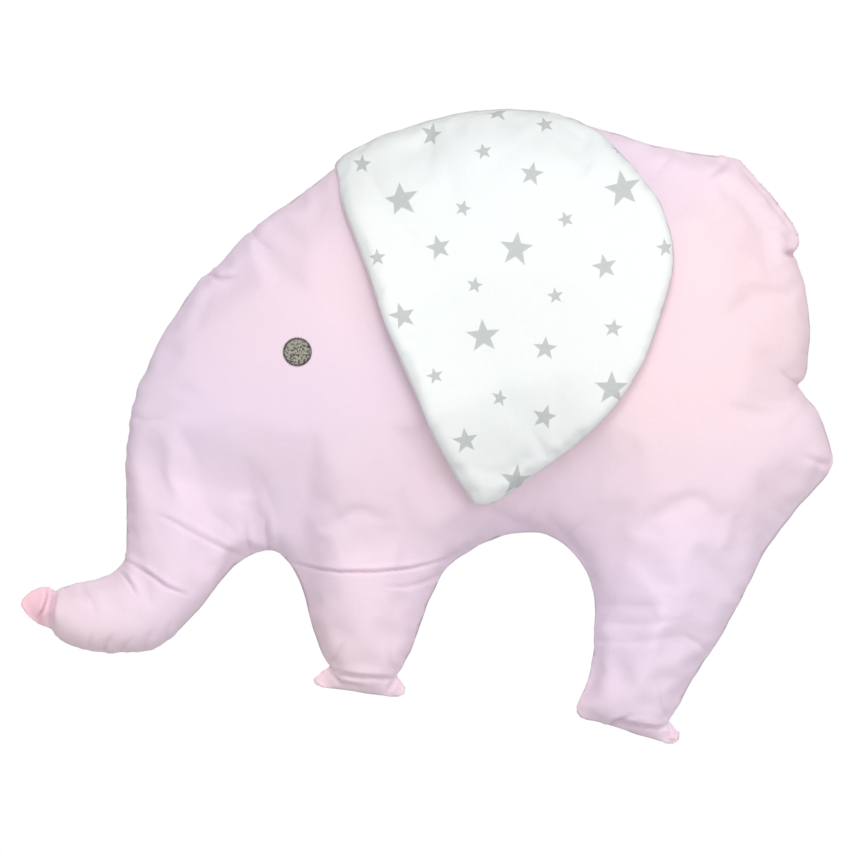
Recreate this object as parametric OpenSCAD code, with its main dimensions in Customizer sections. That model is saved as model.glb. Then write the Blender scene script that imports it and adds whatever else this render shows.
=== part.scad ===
// Flat elephant-shaped baby pillow, lying on its right side.
// X runs from the trunk to the rump, Y from the feet to the back, Z up through the pillow.
// Two cotton panels meet in one seam plane; both ears are sewn into the seam along the back.

/* [Body] */
// Length over all, trunk tip to rump
body_length = 500; // [380:1:620]
// Height over all, soles to back
body_height = 387; // [300:1:480]
// Height of the seam plane above the table
seam_height = 40; // [32:0.5:50]
// Rise of the torso above the seam
torso_rise = 62; // [48:0.5:80]
// Drop of the torso below the seam before the table flattens it
torso_drop = 75; // [60:0.5:95]

/* [Limbs] */
// Rise of the legs above the seam
leg_rise = 32; // [24:0.5:42]
// Drop of the legs below the seam before the table flattens them
leg_drop = 44; // [34:0.5:54]
// Rise of the trunk above the seam
trunk_rise = 27; // [20:0.5:36]
// Drop of the trunk below the seam before the table flattens it
trunk_drop = 43; // [34:0.5:54]

/* [Fabric] */
// Thickness of the cotton panels with their wadding backing
panel_t = 1.2; // [0.8:0.1:2.5]
// Width of the seam allowance turned inside
seam_allowance = 7; // [5:0.5:12]
// Thickness of the two sewn fabric edges
seam_t = 1.2; // [0.8:0.1:2.4]
// Room between the filling and the cloth around it
filling_gap = 0.3; // [0.2:0.1:1]

/* [Ears] */
// Width of an ear, front edge to rear edge
ear_width = 222; // [170:1:270]
// Height of an ear, root to tip
ear_height = 250; // [190:1:300]
// Thickness of a padded ear
ear_pad_t = 8.4; // [6:0.1:14]
// Thickness of the ear cloth
ear_cloth_t = 1; // [0.6:0.1:2]
// Width of the sewn edge of an ear
ear_edge_w = 4; // [3:0.5:8]
// Room between an ear and the body
ear_gap = 0.3; // [0.3:0.1:1]
// Radius about the hinge line inside which an ear stays with the body
ear_root_r = 26; // [22:0.5:34]
// Distance of the hinge line outside the chord of the root
hinge_offset = 9; // [4:0.5:12]
// Room around the right ear in its hollow of the underside
hollow_margin = 3; // [2:0.5:6]

/* [Eyes] */
// Diameter of an embroidered eye with its rim
eye_d = 17; // [12:0.5:24]
// Width of the whipped rim
eye_rim_w = 1.6; // [1:0.1:3]
// Thickness of the embroidery
eye_t = 0.8; // [0.4:0.1:1.4]

/* [Closing] */
// Number of hand stitches that close the turning gap
stitch_count = 9; // [5:1:14]
// Diameter of the doubled sewing thread
stitch_d = 0.8; // [0.5:0.1:1.2]
// Length of a stitch across the seam
stitch_l = 5; // [3:0.5:8]

/* [Hidden] */

pink = [0.95, 0.85, 0.91];
white = [0.96, 0.98, 0.97];
thread_pink = [0.92, 0.80, 0.87];
fibre = [0.93, 0.93, 0.91];
eye_green = [0.58, 0.59, 0.53];
eye_brown = [0.31, 0.24, 0.27];

left = 1;             // side of the pillow that lies up
right = -1;           // side that lies on the table
ring_points = 20;     // points around each cross-section
lens_power = 1.3;     // 1 is a round section, more is a sharper seam edge
fit_gap = 0.05;       // room between pieces sewn flat on each other
big = 900;            // side of a block that takes in the whole pillow

// The pillow is drawn in cross-sections. A row of the torso is its place along X and the Y of the
// seam below and above it. A row of a limb is the seam point on one side (x, y), the seam point
// on the other side (x, y), and the share of the limb's full rise and drop.
torso_rows = [
    [-200, -54, -43], [-197, -80, -18], [-186, -105, 22], [-168, -117, 55], [-143, -118, 90],
    [-112, -116, 124], [-88, -114, 145], [-58, -119, 167], [-20, -119, 185], [18, -103, 193],
    [43, -82, 192], [68, -72, 193], [95, -82, 187], [123, -100, 186], [155, -102, 187],
    [185, -97, 162], [204, -88, 132], [216, -61, 106], [226, -41, 65], [235, -24, 38],
    [246, -5, 16], [249, 3, 9]
];
trunk_rows = [
    [-198, -38, -71, -38, 0.9], [-197, -74, -93, -109, 1], [-192, -104, -112, -118, 1],
    [-188, -124, -125, -138, 0.97], [-190, -135, -137, -159, 0.93], [-201, -143, -151, -179, 0.9],
    [-215, -149, -176, -190, 0.86], [-222, -155, -205, -193, 0.78], [-224, -156, -228, -187, 0.6],
    [-238, -158, -241, -180, 0.4], [-249, -164, -249, -172, 0.06]
];
front_leg_rows = [
    [-91, -80, 45, -69, 1.1], [-84, -117, 22, -98, 1.05], [-75, -131, 10, -123, 1],
    [-65, -152, 5, -147, 0.9], [-56, -168, 1, -167, 0.75], [-51, -177, 0, -176, 0.55],
    [-58, -190, 5, -188, 0.06]
];
rear_leg_rows = [
    [84, -49, 224, -49, 1.15], [99, -86, 209, -82, 1.1], [111, -105, 201, -105, 1.05],
    [114, -131, 191, -131, 0.95], [115, -155, 182, -156, 0.8], [113, -175, 175, -176, 0.58],
    [114, -186, 181, -190, 0.06]
];
// Free edge of an ear, from the front of the root round the tip to the back of the root,
// then past the back seam, where the body's own outline cuts it off.
ear_points = [
    [-93, 140], [-84, 112], [-63, 77], [-37, 30], [-1, -23], [31, -59], [45, -49], [59, -35],
    [76, -17], [97, 13], [114, 45], [123, 75], [127, 102], [124, 122], [116, 139], [102, 157],
    [82, 174], [62, 186], [44, 191], [30, 240], [-30, 240], [-115, 190]
];
ear_box = [-93, -59, 220, 249];   // corner, width and height that the ear is drawn in
root_x = [-93, 44];               // where the root starts and ends along the back seam
eye_at = [-101, 18];
closing_x = [158, 202];           // stretch of the rump seam that is closed by hand

// A curve through rows of numbers.
function curve(a, b, c, d, t) =
    (2 * b + (c - a) * t + (2 * a - 5 * b + 4 * c - d) * t * t + (3 * b - a - 3 * c + d) * t * t * t) / 2;
function refine(rows, n) = [
    for (i = [0 : len(rows) - 2]) for (k = [0 : n - 1])
        curve(rows[max(i - 1, 0)], rows[i], rows[i + 1], rows[min(i + 2, len(rows) - 1)], k / n),
    rows[len(rows) - 1]
];

steps = 2;
torso_drawn = refine(torso_rows, steps);
limbs_drawn = concat(refine(trunk_rows, steps), refine(front_leg_rows, steps), refine(rear_leg_rows, steps));
xs = concat([for (r = torso_drawn) r[0]], [for (r = limbs_drawn) each [r[0], r[2]]]);
ys = concat([for (r = torso_drawn) each [r[1], r[2]]], [for (r = limbs_drawn) each [r[1], r[3]]]);
drawn_mid = [max(xs) + min(xs), max(ys) + min(ys)] / 2;
drawn_size = [max(xs) - min(xs), max(ys) - min(ys)];
stretch = [body_length / drawn_size[0], body_height / drawn_size[1]];

// Puts a drawn point at its real place, with the pillow's own middle at the origin.
function placed(x, y) = [(x - drawn_mid[0]) * stretch[0], (y - drawn_mid[1]) * stretch[1]];
function lens(c) = pow(max(1 - c * c, 0), lens_power / 2);

// A section: one seam point, the other seam point, rise above the seam, drop below it.
torso_mid_x = (torso_rows[0][0] + torso_rows[len(torso_rows) - 1][0]) / 2;
torso_half_x = (torso_rows[len(torso_rows) - 1][0] - torso_rows[0][0]) / 2 + 1;
function torso_share(r) = lens((r[0] - torso_mid_x) / torso_half_x);
torso_sections = [for (r = torso_drawn)
    [placed(r[0], r[1]), placed(r[0], r[2]), torso_rise * torso_share(r), torso_drop * torso_share(r)]];
function limb_sections(rows, rise, drop) = [for (r = refine(rows, steps))
    [placed(r[0], r[1]), placed(r[2], r[3]), rise * r[4], drop * r[4]]];
trunk_sections = limb_sections(trunk_rows, trunk_rise, trunk_drop);
front_leg_sections = limb_sections(front_leg_rows, leg_rise, leg_drop);
rear_leg_sections = limb_sections(rear_leg_rows, leg_rise, leg_drop);

// Where the back seam passes x, and the depths of the hollows of the underside.
function back_seam_y(x) = lookup(x, [for (s = torso_sections) s[1]]);
hollow_h = ear_gap + ear_pad_t + ear_gap;
eye_hollow_h = eye_t + 4 * fit_gap;

// Hinge line of both ears, in the seam plane.
root_start = [placed(root_x[0], 0)[0], back_seam_y(placed(root_x[0], 0)[0])];
root_end = [placed(root_x[1], 0)[0], back_seam_y(placed(root_x[1], 0)[0])];
hinge_dir = (root_end - root_start) / norm(root_end - root_start);
hinge_angle = atan2(hinge_dir[1], hinge_dir[0]);
hinge_at = (root_start + root_end) / 2 + hinge_offset * [-hinge_dir[1], hinge_dir[0]];

// Ear outline at its own size, hung from the front of its root.
ear_outline = [for (p = ear_points) [
    root_start[0] + (p[0] - ear_box[0]) * ear_width / ear_box[2],
    root_start[1] + (p[1] - ear_points[0][1]) * ear_height / ear_box[3]
]];

// Outline of the torso, through the middles of the stretches between its sections.
function halfway(side) = [for (i = [0 : len(torso_sections) - 2])
    (torso_sections[i][side] + torso_sections[i + 1][side]) / 2];
function reversed(list) = [for (i = [len(list) - 1 : -1 : 0]) list[i]];
torso_outline = concat(halfway(0), reversed(halfway(1)));

// One closed ring of points around a section, grown by flat in the seam plane and by tall across it.
function ring(s, flat, tall) = let (
    half = norm(s[1] - s[0]) / 2,
    along = (s[1] - s[0]) / (2 * half),
    mid = (s[0] + s[1]) / 2
) [for (i = [0 : ring_points - 1]) let (
    a = 360 * i / ring_points,
    p = mid + along * (half + flat) * cos(a),
    h = sin(a) >= 0 ? s[2] + tall : s[3] + tall
) [p[0], p[1], seam_height + sign(sin(a)) * h * pow(abs(sin(a)), lens_power)]];

// Sections that still have a body once they are grown or shrunk.
function kept(sections, flat, tall) = [
    for (s = sections) if (norm(s[1] - s[0]) / 2 + flat > 1 && s[2] + tall > 0.5 && s[3] + tall > 0.5) s
];

module span(a, b) {
    hull() polyhedron(points = concat(a, b), faces = [[for (i = [0 : len(a) + len(b) - 1]) i]]);
}

module loft(sections, flat, tall) {
    rows = kept(sections, flat, tall);
    for (i = [0 : len(rows) - 2]) span(ring(rows[i], flat, tall), ring(rows[i + 1], flat, tall));
}

module above(z) { translate([-big / 2, -big / 2, z]) cube([big, big, big]); }
module below(z) { translate([-big / 2, -big / 2, z - big]) cube([big, big, big]); }

// The whole outer form before the table flattens it.
module plump_body(flat, tall) {
    loft(torso_sections, flat, tall);
    loft(trunk_sections, flat, tall);
    loft(front_leg_sections, flat, tall);
    loft(rear_leg_sections, flat, tall);
}

module ear_prism(grow) {
    translate([0, 0, -big / 4]) linear_extrude(big / 2) offset(delta = grow) intersection() {
        polygon(ear_outline);
        polygon(torso_outline);
    }
}

// Hollows of the underside for the right ear and the right eye.
module hollows(grow) {
    intersection() { ear_prism(hollow_margin + grow); below(hollow_h + grow); }
    at = placed(eye_at[0], eye_at[1]);
    translate([at[0], at[1], -big / 2])
        cylinder(d = eye_d + 2 * (hollow_margin + grow), h = big / 2 + eye_hollow_h + grow, $fn = 48);
}

// Flattens a form on the table and presses the hollows into it; inset is its distance inside the cloth.
module laid_down(inset) {
    difference() {
        intersection() { children(); above(inset); }
        hollows(inset);
    }
}

// The torso grown by a distance; its underside is the hollow that holds the right ear.
module swollen_torso(side, distance) {
    intersection() {
        loft(torso_sections, distance, distance);
        above(side == right ? hollow_h - distance : 0);
    }
}

module cloth_shell() {
    difference() {
        laid_down(0) plump_body(0, 0);
        laid_down(panel_t) plump_body(-panel_t, -panel_t);
    }
}

module hinge_round(r) {
    translate([hinge_at[0], hinge_at[1], seam_height]) rotate([0, 90, hinge_angle])
        cylinder(r = r, h = big, center = true, $fn = 64);
}

// A layer of an ear between two distances from the body, with its edge drawn in by trim.
module ear_layer(side, near, far, trim) {
    intersection() {
        difference() {
            swollen_torso(side, far);
            swollen_torso(side, near);
        }
        ear_prism(-trim);
        if (side == right) below(seam_height - seam_t); else above(seam_height + seam_t);
    }
}

ear_far = ear_gap + ear_pad_t;

module ear_flap(side, near, far, trim) {
    difference() {
        ear_layer(side, near, far, trim);
        hinge_round(ear_root_r + ear_gap);
    }
}

module ear_root(side) { intersection() { ear_layer(side, fit_gap, ear_far, 0); hinge_round(ear_root_r); } }
module ear_face(side) { ear_flap(side, ear_far - ear_cloth_t, ear_far, 0); }
module ear_lining(side) { ear_flap(side, ear_gap, ear_gap + ear_cloth_t, 0); }
module ear_wadding(side) {
    ear_flap(side, ear_gap + ear_cloth_t + fit_gap, ear_far - ear_cloth_t - fit_gap, ear_edge_w + ear_gap);
}
module ear_edge_seam(side) {
    difference() {
        ear_flap(side, ear_gap + ear_cloth_t + fit_gap, ear_far - ear_cloth_t - fit_gap, 0);
        ear_prism(-ear_edge_w);
    }
}

module front_panel() {
    color(pink) intersection() { cloth_shell(); above(seam_height + seam_t / 2 + fit_gap); }
}

module back_panel() {
    color(pink) intersection() { cloth_shell(); below(seam_height - seam_t / 2 - fit_gap); }
}

// The two cloth edges, sewn together and turned inside.
module outline_seam() {
    color(thread_pink) intersection() {
        difference() { plump_body(0, 0); plump_body(-seam_allowance, -2 * seam_t); }
        above(seam_height - seam_t / 2);
        below(seam_height + seam_t / 2);
    }
}

// Ladder stitches along the rump, just outside the seam.
module closing_stitches() {
    for (i = [0 : stitch_count - 1]) {
        x = placed(closing_x[0] + (closing_x[1] - closing_x[0]) * i / (stitch_count - 1), 0)[0];
        slope = atan2(back_seam_y(x + 1) - back_seam_y(x - 1), 2);
        out = stitch_d / 2 + 2 * fit_gap;
        color(thread_pink) translate([x - out * sin(slope), back_seam_y(x) + out * cos(slope), seam_height])
            cylinder(d = stitch_d, h = stitch_l, center = true, $fn = 24);
    }
}

fill_in = seam_allowance + filling_gap;
fill_under = panel_t + filling_gap;

module torso_filling() { color(fibre) laid_down(fill_under) loft(torso_sections, -fill_in, -fill_under); }

module limb_filling(sections) {
    color(fibre) difference() {
        laid_down(fill_under) loft(sections, -fill_in, -fill_under);
        loft(torso_sections, filling_gap - fill_in, filling_gap - fill_under);
    }
}

module trunk_filling() { limb_filling(trunk_sections); }
module front_leg_filling() { limb_filling(front_leg_sections); }
module rear_leg_filling() { limb_filling(rear_leg_sections); }

module eye_place(side) {
    at = placed(eye_at[0], eye_at[1]);
    translate([at[0], at[1], side == right ? fit_gap : seam_height]) children();
}

module eye_disc(side) {
    eye_place(side) cylinder(d = eye_d - 2 * eye_rim_w, h = side == right ? eye_t : big / 4, $fn = 64);
}

module eye_ring(side) {
    eye_place(side) difference() {
        cylinder(d = eye_d, h = side == right ? eye_t : big / 4, $fn = 64);
        translate([0, 0, -1]) cylinder(d = eye_d - 2 * eye_rim_w + 2 * fit_gap, h = big / 2, $fn = 64);
    }
}

// Embroidery on the rounded cheek.
module on_cheek() {
    intersection() {
        difference() { loft(torso_sections, eye_t, eye_t + fit_gap); loft(torso_sections, 0, fit_gap); }
        children();
    }
}

module left_eye_fill() { color(eye_green) on_cheek() eye_disc(left); }
module left_eye_rim() { color(eye_brown) on_cheek() eye_ring(left); }
module right_eye_fill() { color(eye_green) eye_disc(right); }
module right_eye_rim() { color(eye_brown) eye_ring(right); }

module left_ear_root() { color(white) ear_root(left); }
module left_ear_face() { color(white) ear_face(left); }
module left_ear_wadding() { color(fibre) ear_wadding(left); }
module left_ear_lining() { color(white) ear_lining(left); }
module left_ear_edge_seam() { color(white) ear_edge_seam(left); }
module right_ear_root() { color(white) ear_root(right); }
module right_ear_face() { color(white) ear_face(right); }
module right_ear_wadding() { color(fibre) ear_wadding(right); }
module right_ear_lining() { color(white) ear_lining(right); }
module right_ear_edge_seam() { color(white) ear_edge_seam(right); }

front_panel();
back_panel();
outline_seam();
closing_stitches();
torso_filling();
trunk_filling();
front_leg_filling();
rear_leg_filling();
left_ear_root();
left_ear_face();
left_ear_wadding();
left_ear_lining();
left_ear_edge_seam();
right_ear_root();
right_ear_face();
right_ear_wadding();
right_ear_lining();
right_ear_edge_seam();
left_eye_fill();
left_eye_rim();
right_eye_fill();
right_eye_rim();
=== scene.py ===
"""A flat stuffed elephant: two pink cotton panels sewn round the edge, filled with fibre, with a padded
star-print ear caught in the back seam on each side and an embroidered eye on each cheek.

Lengths in the tables are millimetres in the part's own frame: +X runs from trunk to rump, +Y from feet to
back, +Z up out of the upper cheek. Meshes are made in metres.
"""

import sys
import bmesh
import bpy
import logging
import math
from dataclasses import dataclass, field, replace
from enum import Enum
from functools import lru_cache

import numpy as np
from mathutils import Matrix, Vector, noise
from mathutils.bvhtree import BVHTree
from mathutils.geometry import delaunay_2d_cdt


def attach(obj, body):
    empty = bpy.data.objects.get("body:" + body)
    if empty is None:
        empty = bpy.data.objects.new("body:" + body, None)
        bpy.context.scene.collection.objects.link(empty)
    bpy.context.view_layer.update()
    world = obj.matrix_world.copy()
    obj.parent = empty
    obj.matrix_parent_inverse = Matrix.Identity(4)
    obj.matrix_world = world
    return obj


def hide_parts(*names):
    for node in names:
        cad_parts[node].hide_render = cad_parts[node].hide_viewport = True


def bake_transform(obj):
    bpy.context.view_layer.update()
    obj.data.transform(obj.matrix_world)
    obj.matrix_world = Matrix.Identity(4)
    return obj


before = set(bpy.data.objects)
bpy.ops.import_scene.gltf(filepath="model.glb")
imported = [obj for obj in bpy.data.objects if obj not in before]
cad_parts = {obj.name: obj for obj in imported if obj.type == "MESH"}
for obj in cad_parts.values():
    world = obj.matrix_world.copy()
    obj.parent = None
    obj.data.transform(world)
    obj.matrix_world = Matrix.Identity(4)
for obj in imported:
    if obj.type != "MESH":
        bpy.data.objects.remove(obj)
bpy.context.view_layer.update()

MM = 0.001
SEAM_Z = 40.0
UP = np.array([0.0, 0.0, 1.0])
FAR_OFF = 300.0
PICTURE_TURN = 9.5
TINY = 1e-9
TOUCHING = 1e-6
CUT_MAP = "cut"
TINT = "seam_tint"
FOLD = "fold_shade"
log = logging.getLogger("elephant")

Vec2 = tuple[float, float]
Vec3 = tuple[float, float, float]
Array = np.ndarray
Socket = bpy.types.NodeSocket
Piece = bpy.types.Object
Run = tuple[Vec2, ...]

# The sewn outline, clockwise from the trunk tip. Each run ends at a corner of the sewing.
BODY_RUNS: tuple[Run, ...] = (
    # folded trunk tip
    ((-227, -183.5), (-234, -182), (-241, -179), (-246, -175), (-249.5, -170), (-246, -163.5), (-241, -159),
     (-234, -156), (-228.5, -158)),
    # top of the trunk
    ((-228.5, -158), (-224, -155), (-215, -150.5), (-205, -147), (-197, -143), (-192, -138), (-188, -131)),
    # face
    ((-188, -131), (-189, -119), (-194, -92), (-198, -69), (-199, -49), (-198, -23), (-194, -7), (-190, 8),
     (-184, 24), (-177, 39), (-171, 52), (-165.5, 58)),
    # forehead
    ((-165.5, 58), (-159, 66), (-152, 78), (-143, 90), (-133, 101), (-122, 111), (-112, 122), (-104, 130),
     (-93.4, 141.3)),
    # ear root
    ((-93.4, 141.3), (-84, 149), (-71, 159), (-55, 167), (-41, 174), (-26, 181), (-9, 186.5), (4, 189.5),
     (21, 191.5), (44.2, 192.6)),
    # back
    ((44.2, 192.6), (66, 191), (80, 189.5), (97, 187), (115, 185.5), (133, 186), (151, 187), (159, 186)),
    # rump, closed by hand
    ((159, 186), (167, 179), (179, 169.5), (192, 157.5), (201, 148.5), (205, 140), (202.5, 131.5)),
    # seat
    ((202.5, 131.5), (206.5, 126), (213, 114), (218, 99), (221.5, 83), (223.5, 66), (223.5, 57),
     (219.5, 49.5)),
    ((219.5, 49.5), (226, 43), (235, 35.5), (242, 23), (248, 10), (249.5, 4)),
    # back of the rear leg
    ((249.5, 4), (247, -4), (241, -14), (234, -25), (227, -38), (216, -59), (210, -80), (203, -100),
     (197, -118), (190, -134), (183.5, -149), (177.5, -166), (173.5, -176)),
    # heel of the rear foot
    ((173.5, -176), (176.5, -178.5), (180.5, -181.5), (181.5, -185.5), (179, -189), (173, -190.5)),
    # rear sole and belly arch between the legs
    ((173, -190.5), (163, -189.5), (152, -188), (143, -186.5), (136, -185.5), (130, -184.5), (119, -184.5),
     (115, -183), (112.5, -178.5), (113.5, -171), (116.5, -161), (117.5, -145), (116, -131), (113, -110),
     (107.5, -96), (100, -86), (90, -78), (80, -73.5), (70, -71.5), (53, -75.5), (38, -83.5), (27, -92.5),
     (18, -102), (13, -113), (9.5, -126), (6.5, -141), (4.5, -155), (1.5, -165), (-3, -176)),
    # heel of the front foot
    ((-3, -176), (0.5, -179), (3.5, -182.5), (3.7, -186.5), (1, -189.3), (-5, -190.7)),
    # front sole and its toe
    ((-5, -190.7), (-15, -191), (-29, -191.4), (-42, -191.7), (-50, -191.6), (-55.5, -190), (-56, -187),
     (-52, -182), (-47.5, -177)),
    # front of the front leg, chin and underside of the trunk
    ((-47.5, -177), (-53, -171), (-58, -163), (-65, -149), (-71, -135.5), (-77, -125.5), (-84, -116.5),
     (-94, -111), (-105, -114), (-115, -122), (-122, -131), (-128.5, -144), (-136, -157), (-144, -169),
     (-154, -181), (-165, -187.5), (-184, -192), (-205, -193.2), (-219, -190), (-227, -183.5)),
)
EAR_ROOT_RUN = 4
CLOSED_RUN = 6

# The free edge of the ear, from the forehead end of its root down to the tip and back up to the root.
EAR_RUNS: tuple[Run, ...] = (
    ((-93.4, 141.3), (-84.5, 112), (-64, 77), (-38.5, 30), (-3, -22), (13, -42.5), (25.5, -57)),
    ((25.5, -57), (33, -56), (43, -50), (60, -35), (80, -16.5), (102, 13.5), (115.5, 45), (121, 74.5),
     (124, 101), (121, 121), (112, 138), (98, 156), (79, 173), (60, 185.5), (44.2, 192.6)),
)


class Side(Enum):
    """Which face of the pillow a piece lies on."""

    LEFT = 1
    RIGHT = -1

    @property
    def word(self) -> str:
        """The side's name as the part's nodes spell it."""
        return self.name.lower()


# ---- Outlines and small triangles --------------------


def smooth_run(points: Run, step: float) -> Array:
    """Draws an even curve through given points.

    Args:
        points: The run's points, in mm.
        step: Wanted spacing along the curve, in mm.

    Returns:
        Points along the curve, without the last one.
    """
    knots = np.array(points, float)
    padded = np.vstack([2 * knots[0] - knots[1], knots, 2 * knots[-1] - knots[-2]])
    pieces_between = 12
    share = np.linspace(0, 1, pieces_between, endpoint=False)[:, None]
    drawn = []
    for before, start, end, after in zip(padded, padded[1:], padded[2:], padded[3:]):
        drawn.append(0.5 * (2 * start + (end - before) * share
                            + (2 * before - 5 * start + 4 * end - after) * share**2
                            + (3 * start - before - 3 * end + after) * share**3))
    dense = np.vstack([*drawn, knots[-1:]])
    travel = np.r_[0, np.cumsum(np.linalg.norm(np.diff(dense, axis=0), axis=1))]
    count = max(1, round(travel[-1] / step))
    wanted = np.linspace(0, travel[-1], count + 1)[:-1]
    return np.column_stack([np.interp(wanted, travel, dense[:, axis]) for axis in (0, 1)])


def nearest_on_line(places: Array, line: Array, closed: bool) -> tuple[Array, ...]:
    """Finds the closest point of a line for many places.

    Args:
        places: N by 2 places, in mm.
        line: M by 2 corners of the line, in mm.
        closed: True if the last corner joins the first.

    Returns:
        Distance, closest point, travel along the line to it, and signed side (left is positive).
    """
    ends = np.roll(line, -1, axis=0) if closed else line[1:]
    starts = line if closed else line[:-1]
    spans = ends - starts
    lengths = np.linalg.norm(spans, axis=1)
    travel = np.r_[0, np.cumsum(lengths)[:-1]]
    distance, closest = np.empty(len(places)), np.empty((len(places), 2))
    along, side = np.empty(len(places)), np.empty(len(places))
    block = 2000
    for first in range(0, len(places), block):
        part = places[first:first + block]
        offset = part[:, None, :] - starts[None]
        share = np.clip((offset * spans).sum(2) / np.maximum(lengths**2, TINY), 0, 1)
        gaps = offset - share[..., None] * spans
        reach = (gaps**2).sum(2)
        pick = reach.argmin(1)
        rows = np.arange(len(part))
        chosen = gaps[rows, pick]
        distance[first:first + block] = np.sqrt(reach[rows, pick])
        closest[first:first + block] = part - chosen
        along[first:first + block] = travel[pick] + share[rows, pick] * lengths[pick]
        side[first:first + block] = np.sign(spans[pick, 0] * chosen[:, 1] - spans[pick, 1] * chosen[:, 0])
    return distance, closest, along, side


def inside_loop(places: Array, loop: Array) -> Array:
    """Returns a mask of the places that lie inside a closed loop."""
    inside = np.zeros(len(places), bool)
    x, y = places[:, 0], places[:, 1]
    for (ax, ay), (bx, by) in zip(loop, np.roll(loop, -1, axis=0)):
        if ay == by:
            continue
        inside ^= ((ay > y) != (by > y)) & (x < (bx - ax) * (y - ay) / (by - ay) + ax)
    return inside


def ease(value: Array, low: float, high: float) -> Array:
    """Returns 0 below low, 1 above high and a soft step between."""
    share = np.clip((value - low) / (high - low), 0, 1)
    return share * share * (3 - 2 * share)


def unevenness(places: Array, size: float, seed: float) -> Array:
    """Reads smooth noise at many places.

    Args:
        places: N by 2 or N by 3 places, in mm.
        size: Size of one lump, in mm.
        seed: Shifts the noise, so that two uses differ.

    Returns:
        Values from about -1 to 1.
    """
    columns = places if places.shape[1] == 3 else np.column_stack([places, np.zeros(len(places))])
    return np.array([noise.noise(Vector(row) / size + Vector((seed, 1.7 * seed, 0.3 * seed)))
                     for row in columns])


@dataclass(frozen=True)
class Lumps:
    """One layer of unevenness: its height and size in mm, and a shift that makes it differ from others."""

    height: float
    size: float
    shift: float

    def at(self, places: Array) -> Array:
        """Returns how far out the layer pushes each place, in mm."""
        return self.height * unevenness(places, self.size, self.shift)


def reach_from(places: Array, x: float, y: float) -> Array:
    """Returns the distance of many places from one, seen from above, in mm."""
    return np.hypot(places[:, 0] - x, places[:, 1] - y)


def directed_edges(faces: Array) -> Array:
    """Returns the sides of every triangle as rows of two point numbers."""
    return np.vstack([faces[:, [0, 1]], faces[:, [1, 2]], faces[:, [2, 0]]])


def joined_pairs(faces: Array) -> Array:
    """Returns every pair of joined points of a triangle mesh once."""
    return np.unique(np.sort(directed_edges(faces), axis=1), axis=0)


def neighbour_sum(values: Array, pairs: Array) -> Array:
    """Adds up what the neighbours of every point hold."""
    total = np.zeros_like(values)
    np.add.at(total, pairs[:, 0], values[pairs[:, 1]])
    np.add.at(total, pairs[:, 1], values[pairs[:, 0]])
    return total


@dataclass
class FlatCut:
    """A cloth shape laid flat and divided into small triangles.

    Attributes:
        places: N by 2 flat places, in mm; the loop's own points come first.
        faces: M by 3 triangles, counter-clockwise.
        loop_size: How many points the closed edge has.
    """

    places: Array
    faces: Array
    loop_size: int

    @classmethod
    def from_loop(cls, loop: Array, spacing: float) -> "FlatCut":
        """Fills a closed loop with even triangles.

        Args:
            loop: The closed edge, in mm.
            spacing: Wanted triangle side, in mm.

        Returns:
            The divided shape.
        """
        low, high = loop.min(0), loop.max(0)
        row_step = spacing * math.sqrt(3) / 2
        rows = np.arange(low[1] + row_step, high[1], row_step)
        grid = [(x + (row % 2) * spacing / 2, y) for row, y in enumerate(rows)
                for x in np.arange(low[0], high[0], spacing)]
        grid = np.array(grid)
        grid = grid[inside_loop(grid, loop)]
        gap = nearest_on_line(grid, loop, True)[0]
        grid = grid[gap > 0.6 * spacing]
        points = np.vstack([loop, grid])
        count = len(loop)
        edges = [(i, (i + 1) % count) for i in range(count)]
        verts, _, faces, *_ = delaunay_2d_cdt([Vector(p) for p in points], edges, [], 1, 1e-6)
        places = np.array([tuple(v) for v in verts])
        triangles = np.array([tuple(f) for f in faces])
        a, b, c = (places[triangles[:, k]] for k in range(3))
        turn = (b - a)[:, 0] * (c - a)[:, 1] - (b - a)[:, 1] * (c - a)[:, 0]
        triangles[turn < 0] = triangles[turn < 0][:, ::-1]
        middle = places[triangles].mean(1)
        triangles = triangles[inside_loop(middle, loop)]
        return cls(places, triangles, count)


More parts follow.
